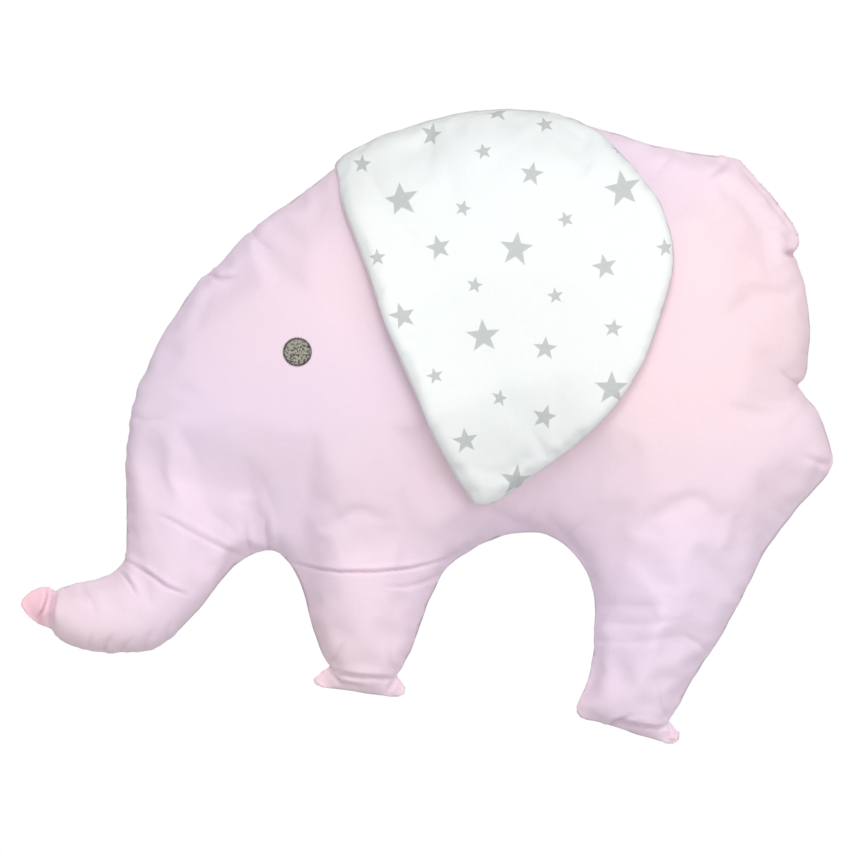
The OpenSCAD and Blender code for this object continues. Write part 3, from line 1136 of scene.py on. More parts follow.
# Folds of the upper panel.
UPPER_CREASES = creases(
    # pinched trunk tip
    (((-229.5, -156), (-229, -163), (-229, -172), (-227, -184)), 4.6, 1.8, 0.25),
    (((-234, -156), (-233, -164), (-234, -172), (-238, -180)), 1.8, 1.2, 1.1, 1),
    # bend of the trunk
    (((-189, -131), (-180, -134), (-170, -138), (-158, -144), (-144, -147)), 2.0, 1.3, 0.45, 1),
    (((-191, -138), (-185, -142), (-180, -147), (-176, -152)), 1.6, 1.2, 0.4, 1),
    (((-190, -133), (-200, -141), (-214, -147)), 1.0, 2.2, 0.4),
    (((-212, -153), (-204, -160), (-199, -170)), 0.9, 3.5, 0.4),
    (((-192, -194), (-190, -186), (-187, -180)), 0.7, 1.5, 0.6),
    (((-181, -193), (-179, -186), (-174, -180)), 0.5, 1.5, 0.6),
    (((-202, -194), (-201, -187), (-200, -181)), 0.5, 1.6, 0.6),
    (((-166, -189), (-165, -180), (-161, -172)), 0.6, 1.8, 0.5),
    (((-152, -181), (-153, -172), (-151, -164)), 0.5, 1.8, 0.5),
    # face into trunk, and chin
    (((-172, -99), (-158, -103), (-141, -109), (-126, -114), (-112, -117)), 1.2, 1.7, 0.5, 1),
    (((-140, -92), (-126, -98), (-112, -108)), 0.7, 4.0, 0.4),
    (((-118, -66), (-110, -84), (-101, -110)), 1.5, 6.0, 0.3),
    (((-97, -112), (-101, -100), (-103, -90)), 1.3, 2.0, 0.5),
    (((-108, -117), (-112, -106), (-114, -97)), 1.0, 2.0, 0.5),
    # top of the front leg
    (((-79, -116), (-66, -117), (-51, -116.5), (-28, -112.5), (-7, -107), (3, -103), (14, -98)),
     2.0, 1.1, 0.5, 1),
    (((-21, -120.5), (-8, -119), (1, -115.5), (14, -107)), 0.9, 1.5, 0.4, -1),
    (((10, -100), (22, -94), (34, -83)), 1.0, 2.4, 0.4),
    # front foot
    (((-49, -178), (-40, -181), (-25, -180.5), (-10, -179), (-2, -177)), 2.0, 1.5, 0.5, 1),
    (((-48, -178), (-45, -182), (-38, -186), (-24, -186.5)), 1.5, 1.2, 0.7, 1),
    (((-48, -176), (-44, -170), (-41, -160)), 0.6, 2.0, 0.5),
    (((-3, -176), (-8, -169), (-11, -158)), 0.6, 2.0, 0.5),
    (((-3, -177), (-6, -182), (-8, -188)), 1.2, 1.4, 0.6),
    # belly
    (((73, -72), (52, -66), (30, -58)), 1.2, 5.0, 0.3),
    (((108, -92), (92, -74), (72, -58)), 1.0, 5.0, 0.3),
    (((60, -74), (62, -64), (66, -54)), 0.6, 2.6, 0.4),
    (((86, -76), (90, -68), (98, -58)), 0.6, 2.6, 0.4),
    # rear leg
    (((112, -110), (128, -108), (146, -105), (166, -100)), 0.5, 3.0, 0.5, 1),
    (((113, -121), (144, -117.5), (176, -108)), 0.6, 2.4, 0.5),
    (((114, -133), (140, -129.5), (173, -121)), 0.6, 2.6, 0.4),
    (((192, -130), (184, -124), (172, -120)), 0.6, 1.8, 0.5),
    (((136, -186), (141, -182), (154, -182), (166, -182), (174, -178)), 2.2, 1.5, 0.6, 1),
    (((134, -187), (138, -182), (147, -177)), 1.6, 1.4, 0.5, 1),
    (((173, -176), (167, -168), (163, -156)), 0.8, 2.2, 0.5),
    (((173, -178), (176, -183), (177, -188)), 1.4, 1.3, 0.6),
    (((115, -172), (120, -164), (122, -150)), 0.6, 2.6, 0.4),
    # seat and rump
    (((157, 182), (166, 175), (177, 166), (188.5, 155.5), (197, 146.5), (200.5, 139)),
     0.6, 1.0, 0.8, 1),
    (((204.5, 132), (201, 131.5), (197, 132)), 3.2, 1.9, 0.4),
    (((201, 140), (192, 144), (180, 147)), 0.5, 2.8, 0.4),
    (((221, 49.5), (214, 52), (205, 57)), 1.2, 2.0, 0.5),
    (((250, 3), (241, 3), (230, 6)), 1.2, 2.2, 0.5),
    (((152, 187), (148, 179), (141, 171)), 1.4, 2.2, 0.5),
    (((116, 186), (113, 176), (107, 167)), 0.9, 2.6, 0.4),
    # forehead notch and back
    (((-167, 58), (-158, 56), (-148, 58)), 1.8, 1.8, 0.5),
    (((-144, 91), (-137, 84), (-127, 79)), 0.9, 2.6, 0.4),
    (((-199, -40), (-190, -41), (-178, -38)), 0.8, 2.6, 0.4),
)

# Folds of the panel that the pillow lies on, near its edge only.
LOWER_CREASES = creases(
    (((-229, -156), (-229, -168), (-228, -186)), 2.6, 2.2, 0.3),
    (((-190, -131), (-176, -136), (-160, -142)), 2.4, 3.0, 0.4),
    (((-189, -192), (-187, -182), (-184, -175)), 1.6, 2.6, 0.4),
    (((-96, -112), (-102, -98), (-106, -84)), 2.4, 4.0, 0.4),
    (((-78, -118), (-50, -116), (-20, -110), (12, -100)), 2.4, 5.0, 0.3),
    (((-52, -179), (-25, -180), (1, -177)), 2.6, 2.8, 0.4),
    (((114, -175), (145, -178), (174, -175)), 2.6, 2.8, 0.4),
    (((206, 138), (196, 133), (182, 130)), 3.2, 3.6, 0.4),
    (((225, 51), (214, 54), (200, 58)), 1.4, 3.6, 0.4),
    (((108, -86), (92, -70), (76, -56)), 2.0, 5.0, 0.4),
)

# Corners of the sewing that the filling doesn't reach: place, reach and share of the thickness left.
THIN_CORNERS: tuple[tuple[float, float, float, float], ...] = (
    (-242, -170, 22, 0.3), (3, -186, 13, 0.4), (-54, -189, 14, 0.35), (180, -186, 12, 0.4),
    (114, -182, 13, 0.5), (249, 4, 13, 0.65), (203, 132, 8, 0.6), (161, 185, 9, 0.7),
)

# Where the sewing turns in sharply and the filling stays back.
SEAM_NOTCHES: tuple[Vec2, ...] = ((220, 49.5), (203, 132), (-189, -131), (-48, -177), (-2, -176), (174, -176),
                                  (113, -178))


# Unevenness of the filled body: lumps of the filling, gathers beside the seam and how their strength
# changes along it, the seam's own nips and wander, and the tufts of the loose fibre.
FILLING_LUMPS = (Lumps(1.0, 62.0, 11.0), Lumps(0.35, 27.0, 5.0))
SEAM_RIPPLE = (Lumps(1.0, 7.0, 2.0), Lumps(0.6, 15.0, 8.0))
RIPPLE_DRIFT = Lumps(1.0, 60.0, 9.0)
SEAM_NIPS = (Lumps(0.6, 9.0, 21.0), Lumps(0.5, 24.0, 17.0))
SEAM_WANDER = Lumps(1.6, 38.0, 4.0)
TUFTS = (Lumps(1.6, 16.0, 6.0), Lumps(0.8, 8.0, 3.0))
# Rounds that fill missing heights from their neighbours, and that even the filled cloth out.
MENDING_ROUNDS = 60
EVENING_ROUNDS = 16
# Shift of the gathers of a bag's second cloth, so that they don't repeat the first one's.
OTHER_CLOTH = 400.0


@dataclass
class StuffedBody:
    """The two pink panels, the seam between them and the fibre inside.

    Attributes:
        spacing: Triangle side of the flat cut, in mm.
        shoulder: Width of the band along the seam that stands steep, in mm.
        inner_reach: Distance in from the seam where the frame's height is read, in mm.
        evened: Distance in from the seam where the filling evens the cloth out, in mm.
        cloth: Panel thickness, in mm.
        seam_gap: Half width of the line between the two panels, in mm.
        steepness: Share of a quarter round in the shoulder, against a straight slope.
        spare_height: Distance from the seam's level where the frame has no cloth, in mm.
        ear_room: Height that the folded ear takes on the table, in mm.
        ceiling: Greatest height of the upper cloth, in mm.
        ripple_reach: Distance in from the seam over which the gathers fade, in mm.
        sunk_seam: How far the stitched line lies below the cloth beside it, in mm.
    """

    wardrobe: Wardrobe
    spacing: float = 4.4
    shoulder: float = 18.0
    inner_reach: float = 12.0
    evened: float = 9.0
    cloth: float = 1.0
    seam_gap: float = 0.12
    steepness: float = 0.75
    spare_height: float = 8.0
    ear_room: float = 9.5
    ceiling: float = 104.0
    ripple_reach: float = 8.0
    sunk_seam: float = 0.7
    inflation: Inflation = field(default_factory=Inflation)
    cut: FlatCut | None = None
    loop: Array | None = None
    coarse: ClothBag | None = None
    fine: ClothBag | None = None
    run_starts: list[int] = field(default_factory=list)

    def build(self) -> None:
        """Sews, fills and creases the body and makes its pieces."""
        self.lay_out()
        self.fill_out()
        self.detail()
        self.panels()
        self.seam_allowance()
        self.fillings()

    def lay_out(self) -> None:
        """Draws the outline and divides the flat cut."""
        runs = [smooth_run(run, self.spacing) for run in BODY_RUNS]
        self.run_starts = np.r_[0, np.cumsum([len(run) for run in runs])].tolist()
        self.loop = np.vstack(runs)
        self.cut = FlatCut.from_loop(self.loop, self.spacing)

    def off_seam(self, places: Array) -> tuple[Array, Array, Array]:
        """Returns the distance to the seam, the closest seam points and the directions away from it."""
        gap, closest, _, _ = nearest_on_line(places, self.loop, True)
        return gap, closest, (places - closest) / np.maximum(gap, TOUCHING)[:, None]

    def warped(self, places: Array) -> tuple[Array, Array, Array, Array]:
        """Finds where flat places come to lie, seen from above.

        Args:
            places: N by 2 flat places, in mm.

        Returns:
            Places seen from above, distance to the seam there, closest seam points, inward directions.
        """
        gap, closest, inward = self.off_seam(places)
        share = np.clip(gap / self.shoulder, 0, 1)
        shown = np.where(gap < self.shoulder, self.shoulder * (1 - np.cos(share * math.pi / 2)), gap)
        blended = self.steepness * shown + (1 - self.steepness) * gap
        return closest + inward * blended[:, None], blended, closest, inward

    def pattern(self, places: Array) -> Array:
        """Returns the places on the cloth as cut, which is larger than the filled shape seen from above."""
        gap, closest, inward = self.off_seam(places)
        grown = np.minimum(gap, self.shoulder) * math.pi / 2 - self.shoulder * (math.pi / 2 - 1)
        return np.where((gap < self.shoulder)[:, None], closest + inward * grown[:, None], places)

    def heights(self, side: Side, seen: Array, gap: Array, closest: Array,
                inward: Array) -> Array:
        """Reads the frame's panel heights under or over many places.

        Args:
            side: Which panel.
            seen: Places seen from above, in mm.
            gap: Distance to the seam, in mm.
            closest: Closest seam points, in mm.
            inward: Directions away from the seam.

        Returns:
            Heights in mm, with NaN where the frame has no cloth.
        """
        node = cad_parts["front_panel" if side is Side.LEFT else "back_panel"]
        mesh = node.data
        tree = BVHTree.FromPolygons([v.co for v in mesh.vertices], [p.vertices for p in mesh.polygons])
        probe = np.where((gap < self.inner_reach)[:, None], closest + inward * self.inner_reach, seen)
        far = 0.5 * side.value
        result = np.full(len(seen), np.nan)
        for i, (x, y) in enumerate(probe * MM):
            hit = tree.ray_cast(Vector((x, y, far)), Vector((0, 0, -side.value)))[0]
            if hit is not None:
                result[i] = hit.z / MM
        rise = np.sqrt(np.clip(gap / self.inner_reach, 0, 1))
        return SEAM_Z + (result - SEAM_Z) * rise

    def fill_out(self) -> None:
        """Brings the flat cut to the filled shape of the frame and blows it up."""
        seen, gap, closest, inward = self.warped(self.cut.places)
        held = self.cut.loop_size
        seen[:held], gap[:held] = self.loop, 0
        cloths = []
        pairs = joined_pairs(self.cut.faces)
        for side in (Side.LEFT, Side.RIGHT):
            height = self.heights(side, seen, gap, closest, inward)
            height[:held] = SEAM_Z
            lost = np.isnan(height)
            height[lost] = SEAM_Z + side.value * self.spare_height
            self.spread(height, pairs, lost, MENDING_ROUNDS)
            self.spread(height, pairs, gap > self.evened, EVENING_ROUNDS)
            for x, y, reach, left in THIN_CORNERS:
                near = reach_from(seen, x, y)
                height = SEAM_Z + (height - SEAM_Z) * (left + (1 - left) * ease(near, 0, reach))
            cloths.append(np.column_stack([seen, height]))
        bag = ClothBag.sewn(self.cut, *cloths)
        bag.relax(6)
        self.gather_seam(bag)
        self.inflation.run(bag, bag.edge)
        bag.relax(1, 0.35)
        self.keep_in_room(bag)
        self.coarse = bag

    def gather_seam(self, bag: ClothBag) -> None:
        """Gives the sewn edge the small unevenness that gathering and turning leave."""
        held = self.cut.loop_size
        ring = bag.points[:held, :2]
        run = np.roll(ring, -1, axis=0) - np.roll(ring, 1, axis=0)
        across = np.column_stack([run[:, 1], -run[:, 0]]) / np.linalg.norm(run, axis=1, keepdims=True)
        nips = sum(layer.at(ring) for layer in SEAM_NIPS)
        bag.points[:held, 2] += SEAM_WANDER.at(ring)
        bag.points[:held, :2] += across * nips[:, None]

    @staticmethod
    def spread(height: Array, pairs: Array, free: Array, rounds: int) -> None:
        """Fills missing heights from their neighbours, in place."""
        count = np.maximum(np.bincount(pairs.ravel(), minlength=len(height)), 1)
        for _ in range(rounds):
            height[free] = (neighbour_sum(height, pairs) / count)[free]

    def lower_floor(self, places: Array) -> Array:
        """Returns the lowest height that the cloth may have, over the table, the folded ear and the eye."""
        ear = np.vstack([smooth_run(run, 3.0) for run in EAR_RUNS])
        inside = inside_loop(places, ear)
        gap = nearest_on_line(places, ear, True)[0]
        reach = np.where(inside, gap, -gap)
        ear_room = self.ear_room * ease(reach, -7.0, -2.5)
        eye_room = 1.05 * ease(-reach_from(places, *EYE_CENTRE), -12.5, -9.5)
        return np.maximum(ear_room, eye_room)

    def keep_in_room(self, bag: ClothBag) -> None:
        """Keeps the lower cloth on the table and off the folded ear, and the upper one in its box."""
        bag.points[:, 2] = np.maximum(bag.points[:, 2], self.lower_floor(bag.points[:, :2]))
        bag.points[:, 2] = np.minimum(bag.points[:, 2], self.ceiling)

    def detail(self) -> None:
        """Divides the cloth finer and adds folds, puckers and unevenness."""
        bag = self.coarse.refined()
        close = np.zeros(len(bag.points), bool)
        for crease in UPPER_CREASES:
            close |= crease.measured(bag.points[:, :2])[0] < 2.2 * crease.width + 2.0
        bag = bag.refined_near(close & bag.touching(True))
        seam_gap, _, along, _ = nearest_on_line(bag.flat, self.loop, True)
        upper_point = bag.touching(True)
        normals = bag.normals()
        push = sum(layer.at(bag.points) for layer in FILLING_LUMPS) * ease(seam_gap, 4, 40)
        phase = np.column_stack([along, np.where(upper_point, 0.0, OTHER_CLOTH)])
        ripple = sum(layer.at(phase) for layer in SEAM_RIPPLE)
        strength = 0.5 + 1.2 * np.clip(RIPPLE_DRIFT.at(phase) + 0.35, 0, 1)
        push += strength * ripple * np.exp(-seam_gap / self.ripple_reach) * ease(seam_gap, 0.0, 3.0)
        for creases, mask in ((UPPER_CREASES, upper_point), (LOWER_CREASES, ~upper_point)):
            chosen = np.flatnonzero(mask & ~bag.edge)
            for crease in creases:
                push[chosen] += crease.press(bag.points[chosen, :2])
        bag.points += normals * (push * ~bag.edge)[:, None]
        bag.points[bag.edge] -= self.sunk_seam * normals[bag.edge]
        self.keep_in_room(bag)
        self.fine = bag

    def marks(self, points: Array, upper: bool) -> dict[str, Array]:
        """Marks where the pink is deeper, as the two panels lie close there, and where painted shade darkens
        the folds.

        Args:
            points: N by 3 places, in mm.
            upper: True for the upper panel.

        Returns:
            Values from 0 to 1 by attribute name.
        """
        tint, fold = np.zeros(len(points)), np.zeros(len(points))
        for x, y, reach, left in THIN_CORNERS:
            near = reach_from(points, x, y)
            tint = np.maximum(tint, (1 - left) * (1 - ease(near, 0.3 * reach, reach)))
        # painted shade at the bottom of every fold of this panel
        for crease in UPPER_CREASES if upper else LOWER_CREASES:
            fold = np.maximum(fold, crease.shade(points[:, :2]))
        # the folded trunk tip, left of and below these places
        tip = ease(-points[:, 0], 229.0, 232.0) * ease(-points[:, 1], 120.0, 130.0)
        return {TINT: np.maximum(0.34 * tint, 0.95 * tip), FOLD: fold}

    def panels(self) -> None:
        """Makes the two panels."""
        for side, node in ((Side.LEFT, "front_panel"), (Side.RIGHT, "back_panel")):
            points, faces, used = self.fine.cloth(side is Side.LEFT)
            points = points.copy()
            points[self.fine.edge[used], 2] += side.value * self.seam_gap
            panel = thick_cloth(node + "_cloth", points, faces, self.pattern(self.fine.flat[used]),
                                self.cloth, self.marks(points, side is Side.LEFT))
            finish_piece(panel, "pillow", self.wardrobe.material(self.wardrobe.pink), "pink_cotton", node)

    def tree(self, bag: ClothBag) -> BVHTree:
        """Returns a search tree of a bag, in mm."""
        return BVHTree.FromPolygons(bag.points.tolist(), bag.faces.tolist())

    def seam_allowance(self, width: float = 7.0, steps: int = 3) -> None:
        """Makes the two raw edges that are turned to the inside of the seam.

        Args:
            width: Width of the allowance, in mm.
            steps: Rows across it.
        """
        bag = self.fine
        tree = self.tree(bag)
        count = self.cut.loop_size
        ring = bag.points[:count].copy()
        gaps = np.roll(ring, -1, axis=0) - np.roll(ring, 1, axis=0)
        inward = np.column_stack([gaps[:, 1], -gaps[:, 0]])
        inward /= np.maximum(np.linalg.norm(inward, axis=1, keepdims=True), TINY)
        deselect_all()
        bpy.ops.mesh.primitive_circle_add(vertices=count, radius=0.1, fill_type="NOTHING")
        strip = bpy.context.active_object
        strip.name = strip.data.name = "outline_seam_allowance"
        start = ring.copy()
        start[:, :2] += inward * 1.3
        move_vertices(strip.data, start)
        bpy.ops.object.mode_set(mode="EDIT")
        bpy.ops.mesh.select_all(action="SELECT")
        for _ in range(steps):
            bpy.ops.mesh.extrude_edges_move()
        bpy.ops.object.mode_set(mode="OBJECT")
        places = np.vstack([start] * (steps + 1))
        for row in range(1, steps + 1):
            part = slice(row * count, (row + 1) * count)
            places[part, :2] += inward * (width - 1.3) * row / steps
            places[part, 2] += 0.7 * row / steps * unevenness(start[:, :2], 14.0, 3.0)
        move_vertices(strip.data, places)
        thick = strip.modifiers.new("two_layers", "SOLIDIFY")
        thick.thickness = 1.6 * MM
        thick.offset = 0
        select_only(strip)
        bpy.ops.object.modifier_apply(modifier=thick.name)
        self.pull_inside(strip, tree, 0.9)
        layer = strip.data.uv_layers.get("UVMap") or strip.data.uv_layers.new(name="UVMap")
        layer.name = CUT_MAP
        outward(strip)
        set_cut_map(strip.data, vertex_rows(strip.data)[:, :2])
        shade_smooth(strip.data)
        finish_piece(strip, "pillow", self.wardrobe.material(self.wardrobe.pink), "pink_cotton",
                     "outline_seam")

    @staticmethod
    def pull_inside(thing: Piece, tree: BVHTree, depth: float | Array) -> None:
        """Moves a piece's points until they lie well inside the cloth.

        Args:
            thing: The piece.
            tree: Search tree of the cloth, in mm.
            depth: Least depth under the cloth's outside, in mm, for all points or for each.
        """
        depths = np.broadcast_to(depth, len(thing.data.vertices))
        for vert, least in zip(thing.data.vertices, depths.tolist()):
            place = vert.co / MM
            near, normal, _, _ = tree.find_nearest(place)
            under = (near - place).dot(normal)
            if under < least:
                vert.co = (place - normal * (least - under)) * MM

    @staticmethod
    def tightness(thing: Piece) -> Array:
        """Returns how much farther the fibre stays from the cloth at folds and notches, in mm."""
        places = vertex_rows(thing.data)[:, :2] / MM
        extra = np.zeros(len(places))
        depth, reach = 4.0, 11.0
        for x, y in SEAM_NOTCHES:
            extra = np.maximum(extra, depth * np.exp(-(reach_from(places, x, y) / reach) ** 2))
        for crease in UPPER_CREASES:
            near = crease.measured(places)[0] < 1.5 * crease.width + 5.0
            extra = np.where(near, np.maximum(extra, 0.9 * crease.depth), extra)
        return extra

    @staticmethod
    def press_between(thing: Piece, tree: BVHTree, room: float) -> None:
        """Keeps a piece's points between the upper and the lower cloth, where the cloths lie close too.

        Args:
            thing: The piece.
            tree: Search tree of the cloth, in mm.
            room: Least height under and over the cloths, in mm.
        """
        for vert in thing.data.vertices:
            x, y, z = vert.co / MM
            above = tree.ray_cast(Vector((x, y, FAR_OFF)), Vector((0, 0, -1)))[0]
            below = tree.ray_cast(Vector((x, y, -FAR_OFF)), Vector((0, 0, 1)))[0]
            if above is None or below is None:
                continue
            half = (above.z - below.z) / 2
            reach = max(half - room, 0.35 * half)
            middle = (above.z + below.z) / 2
            vert.co.z = min(max(z, middle - reach), middle + reach) * MM

    def fillings(self) -> None:
        """Makes the four lots of fibre that the body is stuffed with."""
        tree = self.tree(self.fine)
        parts = (("torso", 6.0), ("trunk", 5.0), ("front_leg", 5.0), ("rear_leg", 5.0))
        for part, voxel in parts:
            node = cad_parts[part + "_filling"]
            thing = linked(part + "_fibre", node.data.copy())
            shape = bmesh.new()
            shape.from_mesh(thing.data)
            bmesh.ops.remove_doubles(shape, verts=shape.verts, dist=1e-6)
            shape.to_mesh(thing.data)
            shape.free()
            select_only(thing)
            remesh = thing.modifiers.new("even", "REMESH")
            remesh.mode, remesh.voxel_size = "VOXEL", voxel * MM
            bpy.ops.object.modifier_apply(modifier=remesh.name)
            mesh = thing.data
            places = vertex_rows(mesh) / MM
            tufts = sum(layer.at(places) for layer in TUFTS) - TUFTS[0].height
            move_vertices(mesh, places + vertex_rows(mesh, "normal") * tufts[:, None])
            for _ in range(2):
                self.pull_inside(thing, tree, self.cloth + 1.4 + self.tightness(thing))
            self.press_between(thing, tree, self.cloth + 1.0)
            shade_smooth(mesh)
            finish_piece(thing, "pillow", self.wardrobe.material(self.wardrobe.filling), "fibre_filling",
                         part + "_filling")


def outward(thing: Piece) -> None:
    """Turns every face of a closed piece outwards."""
    shape = bmesh.new()
    shape.from_mesh(thing.data)
    bmesh.ops.remove_doubles(shape, verts=shape.verts, dist=1e-7)
    bmesh.ops.recalc_face_normals(shape, faces=shape.faces)
    shape.to_mesh(thing.data)
    shape.free()


# ---- Ears --------------------


# Unevenness of an ear: broad waves, dents of the wadding, gathers beside the sewn edge, and one long
# shallow dent across the upper ear.
EAR_WAVE = Lumps(0.5, 33.0, 7.0)
WADDING_DENTS = Lumps(0.35, 19.0, 12.0)
EAR_RIPPLE = (Lumps(1.0, 6.0, 1.0), Lumps(0.5, 13.0, 2.0))
OTHER_EAR_CLOTH = 300.0
EAR_DENT = Crease(((40, 186), (20, 162), (-8, 132), (-36, 104)), 1.3, 9.0, 0.3)


@dataclass
class EarFlap:
    """One padded ear: two cloths sewn round a wadding and caught in the back seam.

    Attributes:
        side: The face of the pillow that it lies on.
        thickness: Full thickness of the pad, in mm.
        gap: Room between the ear and the body, in mm.
        lift: How far the front edge stands up, in mm.
        rounding: Width of the rounded edge, in mm.
        cloth: Cloth thickness, in mm.
        root_fade: Distance from the root over which the pad grows to full thickness, in mm.
        root_room: Extra height of the outer cloth where it comes out of the seam, in mm.
        root_clear: Distance from the root that wadding and turned edges keep, in mm.
        under: Share of the thickness that lies on the body's side of the sewn edge.
        over: Share on the other side.
        spacing: Triangle side, in mm.
    """

    side: Side
    body: StuffedBody
    wardrobe: Wardrobe
    thickness: float = 8.6
    gap: float = 0.9
    lift: float = 5.0
    rounding: float = 8.0
    cloth: float = 0.8
    root_fade: float = 42.0
    root_room: float = 0.8
    root_clear: float = 9.0
    under: float = 0.42
    over: float = 0.58
    spacing: float = 3.8
    bag: ClothBag | None = None
    layers: dict[str, Array] = field(default_factory=dict)

    def build(self) -> None:
        """Shapes the ear on the body and makes its four pieces."""
        cut = self.lay_out()
        base, normals = self.on_body(cut)
        self.pad(cut, base, normals)
        self.pieces()

    def lay_out(self) -> FlatCut:
        """Returns the ear's flat cut, whose edge is the free edge followed by the root."""
        starts = self.body.run_starts
        root = self.body.loop[starts[EAR_ROOT_RUN]:starts[EAR_ROOT_RUN + 1] + 1][::-1]
        free = np.vstack([smooth_run(run, self.spacing) for run in EAR_RUNS])
        loop = np.vstack([free, root[:-1]])
        self.layers["free"] = np.vstack([free, root[:1]])
        self.layers["root"] = root
        return FlatCut.from_loop(loop, self.spacing)

    def on_body(self, cut: FlatCut) -> tuple[Array, Array]:
        """Lays the cut on the filled body.

        Args:
            cut: The ear's flat cut.

        Returns:
            Places on the body and outward directions there.
        """
        bag = self.body.coarse
        chosen = bag.faces[bag.upper == (self.side is Side.LEFT)]
        flat = np.column_stack([bag.flat, np.zeros(len(bag.flat))])
        tree = BVHTree.FromPolygons(flat.tolist(), chosen.tolist())
        smooth = bag.normals()
        base, normals = np.empty((len(cut.places), 3)), np.empty((len(cut.places), 3))
        for i, (x, y) in enumerate(cut.places):
            near, _, index, _ = tree.find_nearest(Vector((x, y, 0)))
            corners = chosen[index]
            shares = self.shares(np.array(near)[:2], bag.flat[corners])
            base[i] = shares @ bag.points[corners]
            normals[i] = shares @ smooth[corners]
        normals /= np.maximum(np.linalg.norm(normals, axis=1, keepdims=True), TINY)
        return base, normals

    @staticmethod
    def shares(place: Array, corners: Array) -> Array:
        """Returns how much each corner of a flat triangle counts at a place."""
        a, b, c = corners
        base = np.column_stack([b - a, c - a])
        v, w = np.linalg.lstsq(base, place - a, rcond=None)[0]
        return np.array([1 - v - w, v, w])

    def pad(self, cut: FlatCut, base: Array, normals: Array) -> None:
        """Raises the two cloths off the body, with the wadding's thickness between them.

        Args:
            cut: The ear's flat cut.
            base: Places on the body.
            normals: Outward directions there.
        """
        free_gap = self.gap_to("free", cut.places)
        root_gap = self.gap_to("root", cut.places)
        edge = np.sqrt(1 - (1 - np.clip(free_gap / self.rounding, 0, 1)) ** 2)
        at_root = 0.3
        full = self.thickness * (at_root + (1 - at_root) * ease(root_gap, 0, self.root_fade))
        front = np.array(EAR_RUNS[0], float)
        front_gap, _, front_along, _ = nearest_on_line(cut.places, front, False)
        length = np.linalg.norm(np.diff(front, axis=0), axis=1).sum()
        top, spread, reach = 0.62, 0.34, 26.0
        raised = np.exp(-((front_along / length - top) / spread) ** 2) * np.exp(-(front_gap / reach) ** 2)
        rise = self.gap * ease(root_gap, 0, 10) + self.lift * raised
        rim_share, rim_reach = 0.45, 12.0
        rise += rim_share * self.lift * np.exp(-(free_gap / rim_reach) ** 2) * ease(root_gap, 30, 110)
        middle = self.under * full
        wave = EAR_WAVE.at(cut.places) * ease(free_gap, 3, 20)
        upper = base + normals * (rise + middle + (self.over * full + wave) * edge)[:, None]
        lower = base + normals * (rise + middle - middle * edge)[:, None]
        if self.side is Side.RIGHT:
            lower, upper = upper, lower
        bag = ClothBag.sewn(cut, upper, lower)
        held = bag.edge.copy()
        bag.relax(2, 0.4)
        Inflation(pressure=2.5, slack=0.02, frames=14, cap=1.6, bending=0.4).run(bag, held)
        bag = bag.refined()
        self.pucker(bag)
        self.keep_clear(bag)
        self.bag = bag

    def pucker(self, bag: ClothBag) -> None:
        """Adds the small gathers along the sewn edge and the soft dents of the wadding."""
        gap, _, along, _ = nearest_on_line(bag.flat, self.layers["free"], False)
        outer = self.outer_points(bag)
        phase = np.column_stack([along, np.where(outer, 0.0, OTHER_EAR_CLOTH)])
        ripple = sum(layer.at(phase) for layer in EAR_RIPPLE)
        push = 0.55 * ripple * np.exp(-gap / 6.0) * ease(gap, 0, 2.5)
        push += WADDING_DENTS.at(bag.flat) * ease(gap, 2, 12)
        if self.side is Side.LEFT:
            push += np.where(outer, EAR_DENT.press(bag.flat), 0)
        bag.points += bag.normals() * (push * ~bag.edge)[:, None]

    def gap_to(self, line: str, places: Array) -> Array:
        """Returns the distance of flat places from the free edge or the root, in mm."""
        return nearest_on_line(places, self.layers[line], False)[0]

    def outer_points(self, bag: ClothBag) -> Array:
        """Returns flags of the points of the cloth that faces away from the pillow."""
        return bag.touching(self.side is Side.LEFT)

    def keep_clear(self, bag: ClothBag) -> None:
        """Keeps the ear off the body and, on the lower side, off the table."""
        tree = self.body.tree(self.body.fine)
        root_gap = self.gap_to("root", bag.flat)
        least = 0.15
        room = least + (self.gap - least) * ease(root_gap, 0, 12)
        room = np.where(self.outer_points(bag), np.maximum(room, self.cloth + self.root_room), room)
        for i in range(len(bag.points)):
            near, normal, _, _ = tree.find_nearest(Vector(bag.points[i]))
            over = (Vector(bag.points[i]) - near).dot(normal)
            if over < room[i]:
                bag.points[i] += np.array(normal) * (room[i] - over)
        bag.points[:, 2] += self.side.value * self.root_room * np.exp(-root_gap / 2.0)
        if self.side is Side.RIGHT:
            over_table = 0.35
            bag.points[:, 2] = np.maximum(bag.points[:, 2], over_table)

    def pieces(self) -> None:
        """Makes the outer cloth, the lining, the wadding and the sewn edge."""
        name = self.side.word + "_ear"
        left = self.side is Side.LEFT
        if left:
            self.wardrobe.star = replace(self.wardrobe.star, stars=self.flat_stars())
        outer = self.cloth_piece(name + "_star_cloth", left)
        lining = self.cloth_piece(name + "_lining_cloth", not left)
        wadding = self.wadding_piece(name + "_wadding_pad")
        edge = self.edge_piece(name + "_turned_edge")
        wear = ((outer, self.wardrobe.star, "star_cotton", (name + "_face", name + "_root")),
                (lining, self.wardrobe.lining, "ear_lining_cotton", (name + "_lining",)),
                (wadding, self.wardrobe.wadding, "wadding", (name + "_wadding",)),
                (edge, self.wardrobe.star, "star_cotton", (name + "_edge_seam",)))
        for piece, finish, slot, nodes in wear:
            piece.data.materials.clear()
            piece.data.materials.append(self.wardrobe.material(finish))
            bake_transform(piece)
            stand_for(piece, slot, *nodes)

